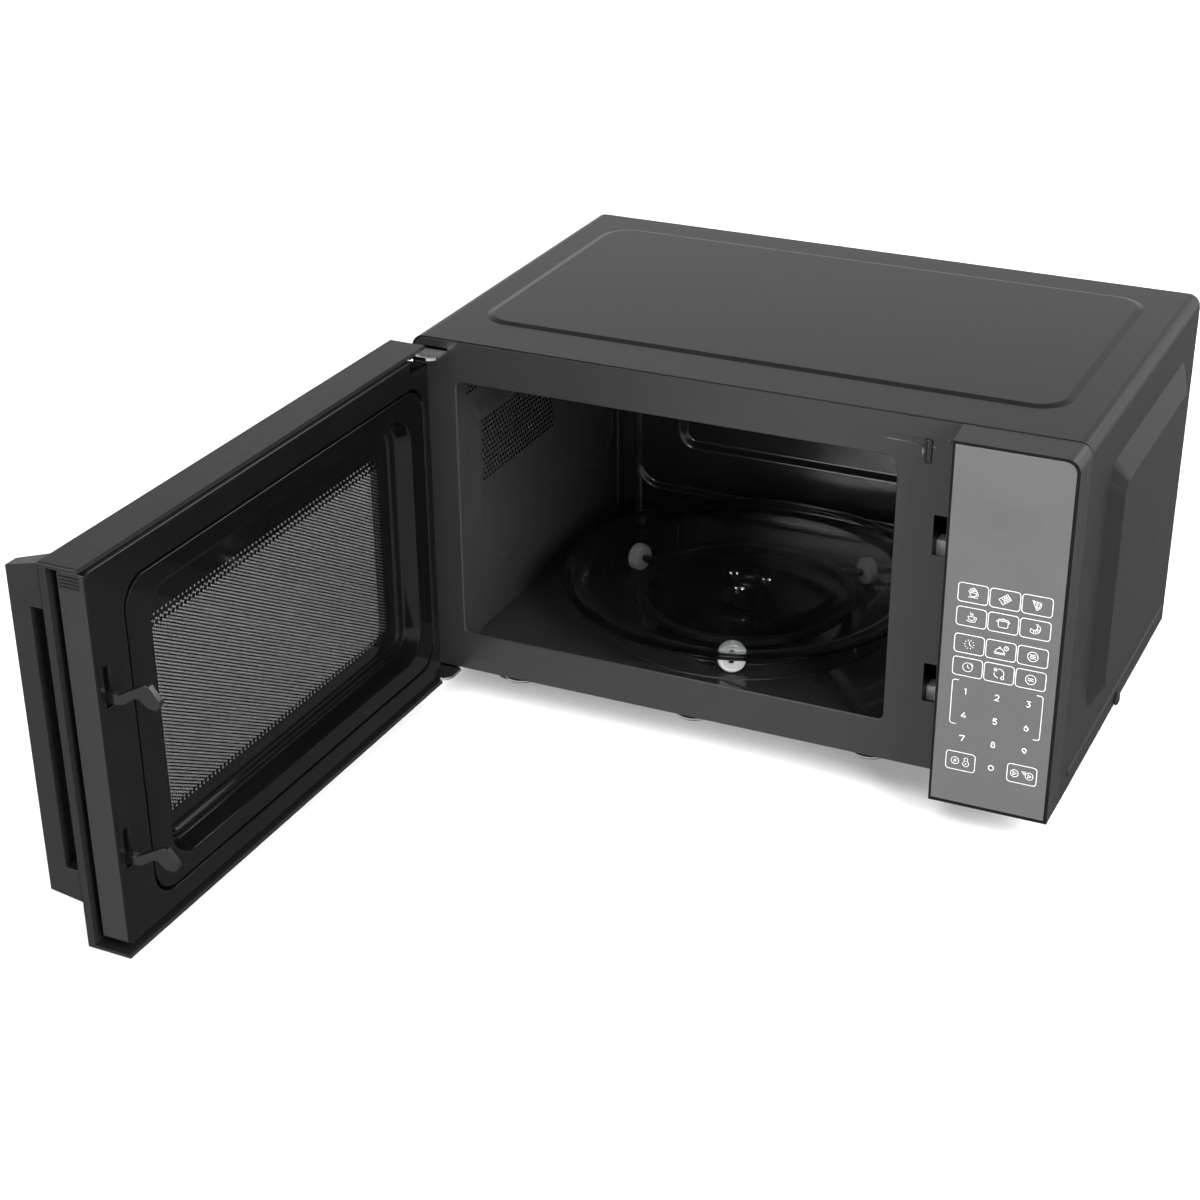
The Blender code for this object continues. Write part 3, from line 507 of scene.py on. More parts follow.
def hex_sheet(columns, rows, pitch, radius, origin, keep, sides, put):
    """A perforated sheet: a vertex ring for each hole inside a six-sided cell, joined cell to cell.

    Columns run along a, rows along b; origin is the first cell and keep says whether a cell has
    a hole. put turns (a, b) into a point of the sheet.
    """
    bm = bmesh.new()
    step, half = pitch * math.sqrt(3) / 2, pitch / 2
    corner = pitch / math.sqrt(3)
    share = sides // 6
    for i in range(columns):
        for j in range(rows):
            a, b = origin[0] + i * step, origin[1] + j * pitch + (half if i % 2 else 0)
            outer = [bm.verts.new(put(*c)) for c in circle((a, b), corner, 6)]
            if not keep(a, b):
                bm.faces.new(outer)
                continue
            inner = [bm.verts.new(put(*c)) for c in circle((a, b), radius, sides)]
            for k in range(6):
                fan = [inner[(k * share + m) % sides] for m in range(share + 1)]
                bm.faces.new([outer[k], outer[(k + 1) % 6], *reversed(fan)])
    bmesh.ops.remove_doubles(bm, verts=bm.verts, dist=0.02)
    return bm


def trim(bm, a_axis, a_range, b_axis, b_range):
    """Cuts a sheet back to a rectangle."""
    for axis, limits in ((a_axis, a_range), (b_axis, b_range)):
        for limit, sign in zip(limits, (-1, 1)):
            point, normal = [0, 0, 0], [0, 0, 0]
            point[axis], normal[axis] = limit, sign
            bmesh.ops.bisect_plane(bm, geom=bm.verts[:] + bm.edges[:] + bm.faces[:], dist=1e-4,
                                   plane_co=point, plane_no=normal, clear_outer=True)


SPIN = (177.2, 140.0)
FLOOR = 35.0
GLAND = (408, 62)


def cavity():
    left, right, front, back = 24.2, 330.2, 1.9, 280.6
    liner = prism("z", rounded((left - 1, right + 1), (front, back + 1), (0, 0, 13, 13), 10), FLOOR - 1, 245)
    pad = prism("x", rounded((34, 264), (60, 207), 8), left - 3.4, left)
    skirt = prism("x", rounded((34, 264), (FLOOR - 1, 207), (0, 0, 8, 8)), left - 3, left)
    pocket = loft("y", [(rounded((28, 324), (45, 234), 24), back + 0.5),
                        (rounded((30, 322), (47, 232), 22), back + 3.4)])
    pocket_deep = loft("y", [(rounded((62, 296), (82, 210), 16), back + 3),
                             (rounded((66, 292), (86, 206), 12), back + 6.9)])
    add(liner, pad, skirt, pocket, pocket_deep)
    cut(liner, prism("z", rounded((left, right), (front - 9, back), (0, 0, 12, 12), 10), FLOOR, 244))
    field = [(36.6, FLOOR + 0.02), (262, FLOOR + 0.02)] + arc(250, 192, 12, 0, 90, 6) \
        + [(65, 204)] + arc(66, 180, 24, 95, 178, 8)
    low = [(a + (0.9 if a < 200 else -0.9), b) for a, b in field]
    cut(liner, loft("x", [(field, left + 1), (field, left), (low, left - 1.2)]))
    steps = [(0, left + 1)] + [(4.0 * t / 6, left - 2.3 * eased(t / 6)) for t in range(7)]
    cut(liner, loft("x", [(rounded((210, 256), (89, 192), 16 - i, 8, -i), x) for i, x in steps]))
    for x, z, r, inset, y, depth in (((29, 323), (46, 233), 22, 5.0, back, 2.4),
                                     ((64, 294), (82, 208), 14, 7.0, back + 2.4, 3.4)):
        steps = [(0, y - 2)] + [(inset * t / 8, y + depth * eased(t / 8)) for t in range(9)]
        cut(liner, loft("y", [(rounded(x, z, r - i, 10, -i), at) for i, at in steps]))
    vent_y, vent_z = (45.5, 157), (140.5, 186)
    cut(liner, box((left - 8, left + 2), vent_y, vent_z), cylinder("z", SPIN, 6, 30, 40),
        box((328, 334), (104, 164), (110, 175)), box((328, 334), (52, 66), (205, 217)))
    corner_y, corner_z = (24, 43), (209.5, 220.5)
    cut(liner, box((left - 6, left + 2), corner_y, corner_z))
    ridge = ((-1.6, -0.3), (1.6, -0.3), (0.8, 0.35), (0, 0.5), (-0.8, 0.35))
    add(liner, *[turned([(r + a, FLOOR + b) for a, b in ridge], SPIN, 96) for r in (24, 83.5, 104.5)])
    made("cavity", liner, ENAMEL, ["cavity_liner"], bevel=0.5, angle=22, sharp=50)

    pitch, radius, sides = 4.0, 1.15, 12
    bm = hex_sheet(16, 32, pitch, radius, (138.6, 42.3), lambda a, b: 142 < a < 184.6 and 46.5 < b < 156,
                   sides, lambda a, b: (left - 1.2, b, a))
    trim(bm, 1, vent_y, 2, vent_z)
    made("cavity_vent", obj_from(bm), ENAMEL, bevel=0)
    bm = hex_sheet(5, 8, pitch, radius, (207.8, 20), lambda a, b: 211 < a < 219.5 and 25 < b < 42,
                   sides, lambda a, b: (left, b, a))
    trim(bm, 1, corner_y, 2, corner_z)
    made("vent_baffle", prism("x", rounded((20, 47), (205, 225), 2, 4), 15.5, 17), BLACK)
    made("cavity_vent_front", obj_from(bm), ENAMEL, bevel=0)


def base_sheet():
    low = span("base_plate")[2][0] + 3
    plate = box((2, WIDTH - 2), (8, 274), (low, low + 1))
    steps = ((13, low + 0.5), (13, low - 0.3), (11.5, low - 2), (9, low - 2.9))
    domes = [stepped("z", (x, 16), steps, 40) for x in (65, 191, 313)]
    add(plate, box((2, WIDTH - 2), (273, 274), (low, low + 12)), *domes)
    vents = [prism("z", rounded((290 + 10 * i, 294 + 10 * i), (150, 200), 1.9, 4), low - 2, low + 3)
             for i in range(9)]
    ribs = [prism("z", rounded((60, 250), (y, y + 8), 3.9, 5), low - 1.2, low + 0.5) for y in (70, 130, 190)]
    add(plate, join(*ribs))
    cut(plate, box((0, 30), (0, 12), (10, 30)), join(*vents))
    made("base", plate, ZINC, ["base_plate"])


def rear_panel():
    def block(x, z, *steps):
        return loft("y", [(rounded(x, z, radius, grow=grow), y) for radius, grow, y in steps])

    panel = prism("y", rounded((1.4, WIDTH - 1.4), (33, 255.6), (0, 0, 6.6, 6.6), 8), 274.6, 275.6)
    add(panel, block((16.4, 337.6), (29.0, 250.6), (9, 0, 274.7), (9, 0, 275.4), (8, -1, 288.4),
                     (7, -2, 289.4)))
    cut(panel, block((18, 336), (30.6, 249), (7, 0, 270), (7, 0, 288.4)))
    grille = [prism("y", rounded((352, 420), (118 + 9 * i, 122 + 9 * i), 1.9, 4), 270, 280) for i in range(9)]
    holes = [prism("y", rounded((60 + 26 * i, 78 + 26 * i), (z, z + 3), 1.4, 4), 285, 292)
             for i in range(9) for z in (215, 222, 229)]
    cut(panel, join(*grille), join(*holes), cylinder("y", GLAND, 7.5, 270, 280))
    presses = [block((60, 290), (z, z + 26), (10, 0, 288.6), (10, 0, 289.2), (9, -1, 289.55))
               for z in (70, 120, 170)]
    add(panel, join(*presses))
    made("rear_cover", panel, ZINC, ["rear_panel"], bevel=0.35, angle=24)


def feet():
    for number in range(1, 5):
        x, y, (_, top) = span(f"foot_{number}")
        profile = [(0, 1.2), (5.6, 1.2), (6.2, 0.05), (8.2, 0.02), (9.0, 0.5), (9.4, 1.4), (9.9, 6),
                   (10.6, 14), (10.9, top), (0, top)]
        foot = turned(profile, (sum(x) / 2, sum(y) / 2), 48)
        made(f"rubber_foot_{number}", foot, RUBBER, [f"foot_{number}"], bevel=0.2)


def cord_gland():
    profile = [(3.6, 270.6), (7, 270.6), (7, 271.5), (9.4, 271.5), (10, 272.1), (10, 274.3), (7, 274.3),
               (7, 275.9), (10, 275.9), (10, 277.6), (9.2, 278.5), (7.2, 279), (6.6, 283), (3.6, 283)]
    gland = turned(profile, (0, 0), 40)
    gland.data.transform(Matrix.Translation((GLAND[0], 0, GLAND[1]))
                         @ Matrix.Rotation(math.radians(90), 4, "X") @ Matrix.Scale(-1, 4, (0, 0, 1)))
    gland.data.flip_normals()
    made("gland", gland, RUBBER, ["cord_gland"], bevel=0.2)


def screw(name, node, axis, material):
    """A pan head with a cross recess; it stands out along +axis."""
    spans = span(node)
    low, high = spans.pop("xyz".index(axis))
    cx, cy = (sum(limits) / 2 for limits in spans)
    radius, height = (spans[0][1] - spans[0][0]) / 2, high - low
    steps = ((1, 0), (1, 0.45), (0.82, 0.85), (0.5, 1))
    head = stepped(axis, (cx, cy), [(radius * r, low + height * h) for r, h in steps], 28)
    for a, b in ((radius * 0.55, radius * 0.14), (radius * 0.14, radius * 0.55)):
        cross = [(cx - a, cy - b), (cx + a, cy - b), (cx + a, cy + b), (cx - a, cy + b)]
        cut(head, prism(axis, cross, high - height * 0.6, high + 1))
    made(name, head, material, [node], bevel=0.12, segments=2)


# ---- turntable

def turn_about(outline, degrees, centre=SPIN):
    c, s = math.cos(math.radians(degrees)), math.sin(math.radians(degrees))
    return [(centre[0] + a * c - b * s, centre[1] + a * s + b * c) for a, b in outline]


def tray():
    under = span("glass_tray")[2][0] + 6
    profile = ((0, 0), (108, 0), (112, 0.5), (117, 2.4), (121, 3.6), (126.4, 5.2), (127.3, 5.8), (127.5, 6.6),
               (127.1, 7.3), (126.2, 7.5), (124, 7.3), (120.5, 7.0), (118.4, 6.6), (114.5, 5.1), (110.5, 4.2),
               (107, 4.0), (0, 4.0))
    dish = turned([(r, under + h) for r, h in profile], SPIN, 160)
    collar = ((6.6, -2.2), (7.4, -2.6), (8.4, -2.2), (8.8, 0.4), (6.2, 0.4))
    lug = ((1.2, -4.0), (2.2, -3.7), (2.9, -2.6), (3.6, -0.6), (4.4, 0.4))
    lugs = [stepped("z", turn_about([(14, 0)], angle)[0], [(r, under + h) for r, h in lug], 20)
            for angle in (30, 150, 270)]
    add(dish, turned([(r, under + h) for r, h in collar], SPIN, 48), *lugs)
    made("tray", dish, CLEAR, ["glass_tray"], "tray", bevel=0, sharp=60)


def coupler():
    profile = ((0, -1), (4.5, -1), (4.5, 0.6), (8.6, 0.6), (9, 1), (9, 13), (8, 14), (5, 14), (4.4, 13.2),
               (0, 13))
    hub = turned([(r, FLOOR + h) for r, h in profile], SPIN, 40)
    lobe = rounded((0, 17), (-3.5, 3.5), (0, 3.4, 3.4, 0), 6)
    add(hub, *[prism("z", turn_about(lobe, angle), FLOOR + 4, FLOOR + 15.8) for angle in (90, 210, 330)])
    made("coupler_hub", hub, BLACK, ["turntable_coupler"], "coupler", bevel=0.5)


def roller_ring():
    axle, track, angles = FLOOR + 9.8, 94, (46, 166, 286)
    profile = ((70, -2), (70.5, -2.2), (75.5, -2.2), (76, -2), (76, 1.6), (75.4, 2.1), (70.6, 2.1), (70, 1.6))
    ring = turned([(r, axle + h) for r, h in profile], SPIN, 120)
    for angle in angles:
        arm = turn_about([(74, -3.2), (84, -3.2), (86, -2), (89, -2), (89, 2), (86, 2), (84, 3.2),
                          (74, 3.2)], angle)
        pin = turn_about([(87, -1.4), (99, -1.4), (99, 1.4), (87, 1.4)], angle)
        add(ring, prism("z", arm, axle - 2, axle + 2), prism("z", pin, axle - 1.4, axle + 1.4))
    made("ring", ring, BLACK, ["roller_ring"], "ring", bevel=0.5, segments=2)
    half = [(2.1, 3.9), (3.6, 3.9), (4.1, 3.3), (6.6, 3.3), (7.1, 3.8), (8.3, 4.0), (9.0, 3.5), (9.4, 2.4),
            (9.5, 1.0)]
    for number, angle in enumerate(angles, 1):
        wheel = turned([(r, -w) for r, w in half] + [(r, w) for r, w in reversed(half)], (0, 0), 40)
        spot = turn_about([(track, 0)], angle)[0]
        wheel.data.transform(Matrix.Translation((*spot, axle)) @ Matrix.Rotation(math.radians(angle), 4, "Z")
                             @ Matrix.Rotation(math.radians(90), 4, "Y"))
        made(f"wheel_{number}", wheel, WHITE, [f"roller_{number}"], f"wheel_{number}",
             bevel=0.15)


# ---- control panel

PANEL_FRONT = -27.3


def ribbon(bm, points, closed, width, centre):
    """A flat printed line through (x, z) points about a centre, with mitred corners."""
    front, thick = PANEL_FRONT + 0.16, 0.08
    points = [Vector(p) + Vector(centre) for p in points]
    count = len(points)
    sides = []
    for i, point in enumerate(points):
        before = points[i - 1] if (closed or i) else None
        after = points[(i + 1) % count] if (closed or i < count - 1) else None
        ins = (point - before).normalized() if before is not None else None
        out = (after - point).normalized() if after is not None else None
        ins, out = ins or out, out or ins
        mid = ins + out
        mid = mid.normalized() if mid.length > 1e-6 else ins
        reach = width / 2 / max(0.5, abs(mid.dot(ins)))
        across = Vector((-mid.y, mid.x)) * reach
        sides.append((point + across, point - across))
    rows = [[bm.verts.new((p.x, y, p.y)) for p in pair for y in (front, front - thick)] for pair in sides]
    for i in range(count if closed else count - 1):
        a, b = rows[i], rows[(i + 1) % count]
        for quad in ((0, 1, 1, 0), (1, 3, 3, 1), (3, 2, 2, 3), (2, 0, 0, 2)):
            bm.faces.new((a[quad[0]], a[quad[1]], b[quad[2]], b[quad[3]]))
    if not closed:
        for row in (rows[0], rows[-1]):
            bm.faces.new((row[0], row[1], row[3], row[2]))


def line(*points):
    return list(points), False


def loop(*points):
    return list(points), True


def ring_line(radius, centre=(0, 0), steps=24):
    return loop(*circle(centre, radius, steps))


DIGITS = {
    "0": [loop(*((1.45 * math.cos(t * math.pi / 10), 1.55 * math.sin(t * math.pi / 10)) for t in range(20)))],
    "1": [line((-0.75, 1.35), (0.15, 1.75), (0.15, -1.75))],
    "2": [line(*arc(0, 0.72, 1.1, 165, -35, 9), (-1.25, -1.7), (1.35, -1.7))],
    "3": [line((-1.1, 1.75), (1.05, 1.75), (-0.1, 0.42), *arc(-0.1, -0.66, 1.08, 88, -150, 9))],
    "4": [line((0.35, 1.75), (-1.45, -0.8), (1.5, -0.8)), line((0.6, 0.3), (0.6, -1.75))],
    "5": [line((1.1, 1.75), (-0.8, 1.75), (-1.0, 0.2), *arc(-0.1, -0.62, 1.12, 100, -150, 9))],
    "6": [ring_line(1.14, (0, -0.62), 18), line(*arc(0.9, -0.5, 2.05, 112, 182, 6))],
    "7": [line((-1.3, 1.1), (-1.3, 1.75), (1.3, 1.75), (-0.35, -1.75))],
    "8": [ring_line(0.86, (0, 0.92), 16), ring_line(1.1, (0, -0.72), 18)],
    "9": [ring_line(1.14, (0, 0.62), 18), line(*arc(-0.9, 0.5, 2.05, -68, 2, 6))],
}
CUP = [line((-2.3, 0.5), (2.3, 0.5)), line((-2.2, 0.5), *arc(0, 0.1, 2.2, 190, 350, 9), (2.2, 0.5)),
       line(*arc(2.5, -0.5, 0.95, 100, -100, 7))]


def turned_lines(lines, degrees):
    return [(turn_about(points, degrees, (0, 0)), closed) for points, closed in lines]


def moved(lines, x, z):
    return [([(a + x, b + z) for a, b in points], closed) for points, closed in lines]


def printed(bm, lines, spot, scale, width):
    for points, closed in lines:
        ribbon(bm, [(a * scale, b * scale) for a, b in points], closed, width, spot)


def icon_shapes():
    """The twelve pictures on the keys, row by row, as lines about each key's middle."""
    cream = line((-2.3, 0.5), (-3.0, 1.4), (-2.0, 1.9), (-2.2, 2.9), (-1.0, 2.9), (-0.5, 3.9), (0.6, 3.9),
                 (1.0, 3.0), (2.1, 2.8), (1.9, 1.8), (2.9, 1.3), (2.3, 0.5))
    whipped = CUP + [cream, line((-1.6, 1.1), (1.6, 2.1)), line((-1.0, 2.1), (1.0, 2.9)),
                     line((-3.2, -2.7), (3.2, -2.7))]
    bar = [loop((-3.4, -2.2), (-3.4, 2.2), (3.4, 2.2), (3.4, -2.2)),
           line((-1.1, -2.2), (-1.5, -1), (-0.9, 0), (-1.5, 1), (-1.1, 2.2)),
           line((0.6, -2.2), (0.6, 2.2)), line((2.0, -2.2), (2.0, 2.2)), line((-1.0, -0.75), (3.4, -0.75)),
           line((-1.0, 0.75), (3.4, 0.75))]
    pizza = [loop((-3.3, 3.1), (-0.2, -3.3), *arc(-2.2, 1.0, 4.75, -60, 12, 7)),
             line(*arc(-2.2, 1.0, 3.9, -54, 14, 6)), ring_line(0.62, (-0.2, 0.9), 12),
             ring_line(0.5, (-0.4, -1.0), 12), ring_line(0.4, (-1.9, 1.9), 10)]
    steaming = CUP + [line(*arc(0, 2.6, 5.9, 238, 302, 9)),
                      line((-0.4, 3.5), (-0.9, 2.7), (-0.1, 2.1), (-0.5, 1.3)),
                      line((0.9, 3.1), (0.4, 2.4), (1.0, 1.9), (0.7, 1.3))]
    pot = [loop(*rounded((-3.2, 3.2), (-3.0, 1.5), (1.3, 1.3, 0.2, 0.2), 4)),
           line((-3.8, 1.5), (-2.8, 2.6), (2.8, 2.6), (3.8, 1.5)),
           line((-0.9, 2.6), (-0.6, 3.2), (0.6, 3.2), (0.9, 2.6)),
           line((-3.2, 0.4), (-4.2, 0.7), (-4.4, 1.4)), line((3.2, 0.4), (4.2, 0.7), (4.4, 1.4))]
    croissant = [loop(*arc(0, 0.9, 3.8, 190, 350, 12), (2.5, 1.7), *arc(0, 1.6, 2.0, -20, -160, 8),
                      (-2.5, 1.7)), line((-1.3, -0.1), (-2.4, -2.0)), line((1.3, -0.1), (2.4, -2.0)),
                 line((-0.5, -0.4), (-0.9, -2.8)), line((0.5, -0.4), (0.9, -2.8)),
                 line((2.5, 1.7), (2.3, 3.1), (3.6, 1.6))]
    dashes = [line(*((r * math.cos(t), r * math.sin(t)) for r in (2.6, 3.4)))
              for t in (math.radians(36 * k) for k in range(10))]
    dashes.append(line((-0.1, 2.0), (0, 0), (1.5, -1.2)))
    cloche = [line((-4.2, -1.6), *arc(-0.8, -1.6, 3.0, 180, 0, 12), (2.6, -1.6)),
              line((-4.6, -1.7), (3.0, -1.7)), line((-4.4, -2.6), (2.8, -2.6)),
              line(*arc(-0.8, 1.9, 0.55, -30, 210, 6)), ring_line(1.45, (3.4, 2.1), 18),
              line((3.4, 3.0), (3.4, 2.1), (4.1, 2.1))]

    def waves(levels):
        return [ring_line(3.4, steps=28)] + [
            line(*((x / 2, z + 0.28 * math.sin(x * 1.5)) for x in range(-4, 5))) for z in levels]

    timer = [ring_line(3.2, steps=28), line((0, 1.9), (0, 0), (1.5, -0.6)),
             line((2.0, 3.4), (3.1, 2.4), (3.6, 1.0))]
    flake = [line((-2.4 + 1.5 * math.cos(t), 2.4 + 1.5 * math.sin(t)),
                  (-2.4 - 1.5 * math.cos(t), 2.4 - 1.5 * math.sin(t)))
             for t in (0, math.pi / 3, 2 * math.pi / 3)]
    thaw = flake + [line(*arc(0, 0, 3.3, 100, -35, 9)), line(*arc(0, 0, 3.3, 178, 262, 7)),
                    loop((2.4, -1.6), *arc(2.4, -3.0, 1.0, 40, -220, 9))]
    return [[whipped, turned_lines(bar, 38), pizza], [steaming, pot, turned_lines(croissant, 32)],
            [dashes, cloche, waves((-1.2, 0, 1.2))], [timer, thaw, waves((-0.7, 0.7))]]


def panel_print():
    """Printed key outlines, pictures and digits; the words are left out."""
    bm = bmesh.new()
    thin, medium, bold = 0.34, 0.42, 0.55
    columns, rows = (383.8, 403.1, 422.4), (163.3, 147.8, 129.9, 114.6)
    key = [loop(*rounded((-9.1, 9.1), (-6.1, 6.1), 2.0, 4))]
    for z, row in zip(rows, icon_shapes()):
        for x, shape in zip(columns, row):
            printed(bm, key, (x, z), 1, medium)
            printed(bm, shape, (x, z), 0.92, thin)
    for z, text in zip((98.1, 82.0, 66.0, 49.8), ("123", "456", "789", " 0 ")):
        for x, digit in zip(columns, text):
            printed(bm, DIGITS.get(digit, ()), (x, z), 1.06, bold)
    for side, x in ((1, 375.3), (-1, 430.9)):
        hook = [(x + side * 4.0, 75.2)]
        hook += [(x + side * (1.6 - 1.6 * math.sin(t)), 76.8 - 1.6 * math.cos(t)) for t in (0, 0.8, 1.57)]
        hook += [(a, 180.3 - b) for a, b in reversed(hook)]
        printed(bm, [line(*hook)], (0, 0), 1, medium)
    stop = [ring_line(2.4, (-3.4, 0)), ring_line(1.9, (3.4, -1.1), 20), ring_line(1.15, (3.4, 1.9), 16),
            ring_line(0.3, (3.4, -1.1), 8)]
    stop += [line((x, -0.9), (x, 0.9)) for x in (-4.0, -3.4, -2.8)]
    play = [loop((-0.8, 1.1), (1.2, 0), (-0.8, -1.1)), ring_line(2.4)]
    start = moved(play, -4.6, 0) + moved(play, 4.6, -0.2)
    start += [line((-0.4, 2.1), (2.4, 2.4)), line((0.1, 1.2), (2.2, 1.5)), line((1.0, 0.4), (2.0, 0.5))]
    key = [loop(*rounded((-9.1, 9.1), (-6.2, 6.2), 2.0, 4))]
    for spot, shape in (((383.9, 49.9), stop), ((422.3, 49.7), start)):
        printed(bm, key, spot, 1, medium)
        printed(bm, shape, spot, 1, thin)
    made("panel_print", obj_from(bm), PRINT, bevel=0, sharp=30)


def control_panel():
    front = PANEL_FRONT
    x, z = (365.3, WIDTH), (18.8, 256.6)

    def shape(a, b, radius, steps=12):
        return rounded(a, b, (0, 0, radius, 0), steps)

    outline = shape(x, z, CORNER)
    housing = loft("y", [(outline, front), (shape((x[0] - 2.1, x[1]), z, CORNER), -0.3)])
    cut(housing, prism("y", outline, front - 5, front + 0.3),
        prism("y", shape((366.4, 438.2), (20.6, 255.0), 7.2), front - 5, front + 2.8),
        prism("y", shape((367.3, 438), (20.8, 254.6), 6.4, 8), front + 4.8, 5),
        box((376, 422), (front - 5, 0), (198, 224)))
    made("panel_housing", housing, HOUSING, ["control_panel_housing"], bevel=0.35)
    pane = prism("y", shape((366.6, 438.0), (20.8, 254.8), 7.0), front + 0.15, front + 2.0)
    made("panel_pane", pane, MIRROR, ["control_glass"], bevel=0.25)
    edge = shape((x[0] + 0.15, x[1] - 0.15), (z[0] + 0.15, z[1] - 0.15), CORNER - 0.15)
    gasket = prism("y", edge, front - 0.02, front + 0.6)
    cut(gasket, prism("y", shape((366.55, 438.05), (20.75, 254.85), 7.05), front - 2, front + 2))
    made("glass_gasket", gasket, GASKET, bevel=0)
    window = prism("y", rounded((385.8, 420.3), (206.5, 223.2), 0.6, 3), front + 0.11, front + 0.2)
    made("display_window", window, WINDOW, bevel=0)
    panel_print()


# ---- works behind the shells

def internal_materials():
    """Gives each CAD node that stays as packed its surface."""
    looks = {"touch_film": FILM, "display_module": GLOSS, "control_board": BOARD, "turntable_motor": ZINC,
             "interlock_bracket": BLACK, "micro_switch_1": BLACK, "micro_switch_2": BLACK,
             "micro_switch_3": BLACK, "switch_plunger_1": WHITE, "switch_plunger_2": WHITE,
             "switch_plunger_3": WHITE, "waveguide": ZINC, "magnetron_yoke": ZINC, "magnetron_tube": FINS,
             "magnetron_antenna": CERAMIC, "waveguide_cover": MICA, "transformer_core": CORE,
             "transformer_winding": COPPER, "hv_capacitor": FINS, "hv_diode": BLACK,
             "line_filter_board": BOARD, "thermal_cutout_1": BLACK, "thermal_cutout_2": BLACK,
             "lamp_holder": WHITE, "cavity_lamp": CLEAR, "fan_shroud": BLACK, "fan_motor": CORE,
             "fan_blade": BLACK, "air_duct": BLACK, "latch_spring": BRIGHT}
    for node, material in looks.items():
        obj = frame["nodes"][node]
        obj.data.materials.clear()
        obj.data.materials.append(material)


# ---- hinges

HINGE_PIN = (5.8, -14.3)


def hinge_bracket(name, node, tab, pin, flange):
    x, y = HINGE_PIN
    outline = arc(x, y, 3.8, 170, 300, 14) + arc(18, y + 4.3, 8, 270, 360, 10)
    outline += [(26, 0.3), (22.8, 0.3), (22.8, 4.4), (9, 4.4), (9, 0)]
    bracket = prism("z", outline, *tab)
    add(bracket, box((9, 22.8), (2.4, 4.4), flange))
    add(bracket, stepped("z", HINGE_PIN, ((1.6, pin[0]), (1.6, pin[1] - 0.4), (1.2, pin[1])), 24))
    made(name, bracket, BRIGHT, [node], bevel=0.35)


# ---- door

LENGTH, THICK = 358.8, 27.4
DOOR_Z = (17.0, 255.8)
CHOKE_Z = (23.8, 252.8)
# RING is the surround's opening and WINDOW_EDGE the dished window's, each as its u, its z and its radius;
# FIELD is the flat perforated field in the window
RING = ((10.5, 326.0), (37.5, 233.5), 18.0)
WINDOW_EDGE = ((27.0, 307.5), (50.4, 220.0), 20.0)
FIELD_U, FIELD_Z, FIELD_V = (44.9, 290.4), (69.6, 197.4), -14.0


def door_frame():
    low, high = DOOR_Z
    far = LENGTH + 5
    shell = prism("y", rounded((0, LENGTH), DOOR_Z, 1.2, 4), -THICK, 0.6)
    cut(shell, prism("y", rounded((5, 341), (low + 5, high - 5), 3, 6), -THICK - 2, -24.1),
        prism("y", rounded((40, 300), (60, 215), 12, 10), -40, -10),
        box((1.6, LENGTH - 2.4), (-22.6, 5), (low + 2.8, high - 2.6)))
    for u, v, z in (((LENGTH - 4, far), -22.6, (low + 2.8, high - 2.6)),
                    ((-5, far), -3.0, (high - 3.2, high + 5)), ((-5, 3), -3.0, (low - 5, high + 5)),
                    ((-5, 3), -18.2, (243.5, high - 2.6)), ((-5, 3), -18.2, (low + 2.8, 23.2))):
        cut(shell, box(u, (v, 5), z))
    plan = rounded((0.2, 6.6), (-17.4, -9.6), 1, 5)
    add(shell, prism("z", plan, 250.1, high - 1), prism("z", plan, 23.6, 29))
    cut(shell, *[cylinder("z", (HINGE_U, HINGE_V), 1.9, *z, 24) for z in ((249.5, high - 2), (20, 30))])
    made("door_shell", shell, BLACK, ["door_frame"], "door", bevel=0.45)


def choke_cover():
    u = (2.0, 356.0)
    flat = rounded(u, CHOKE_Z, 3, 6)
    edge = [(0.0, -1.6), (-0.25, -0.9), (-0.8, -0.3), (-1.6, 0.0)]
    cover = loft("y", [(flat, -18.2)] + [(rounded(u, CHOKE_Z, 3 + g * 0.5, 6, grow=g), v) for g, v in edge])
    ridges = [box((355.5, 356.9), (-16.8, -4.6), (z, z + 0.8)) for z in (242.4, 244.4, 246.4, 248.4)]
    add(cover, join(*ridges))
    (ring_u, ring_z, ring_r) = RING
    hollow = prism("y", rounded((3.6, 354.4), (CHOKE_Z[0] + 1.6, CHOKE_Z[1] - 1.6), 2, 4), -30, -2.2)
    cut(hollow, prism("y", rounded(ring_u, ring_z, ring_r, 12, grow=3.4), -35, 5))
    hole = loft("y", [(rounded(ring_u, ring_z, ring_r, 12, grow=g), v)
                      for g, v in ((1.5, -30), (1.5, -1.0), (1.7, -0.5), (2.3, 0.0), (2.3, 5))])
    cut(cover, hollow)
    cut(cover, hole)
    for z in ((71.9, 96.8), (171.9, 196.8)):
        cut(cover, box((344.8, 351.2), (-6, 4), z))
    cut(cover, box((-2, 24.2), (-30, 4), (CHOKE_Z[1] - 8.4, 260)))
    cut(cover, box((-2, 8), (-30, -8), (10, 30)))
    made("door_surround", cover, GLOSS, ["choke_cover"], "door", bevel=0.25, angle=40,
         sharp=50)
    # the end wall is grained and matt, and its lighter colour is painted light standing in for the light that
    # falls on that side
    cover.data.materials.append(END_WALL_PAINTED_LIGHT)
    outward = DOOR.to_3x3().normalized() @ Vector((1, 0, 0))
    for face in cover.data.polygons:
        if face.normal.dot(outward) > 0.95:
            face.material_index = 1


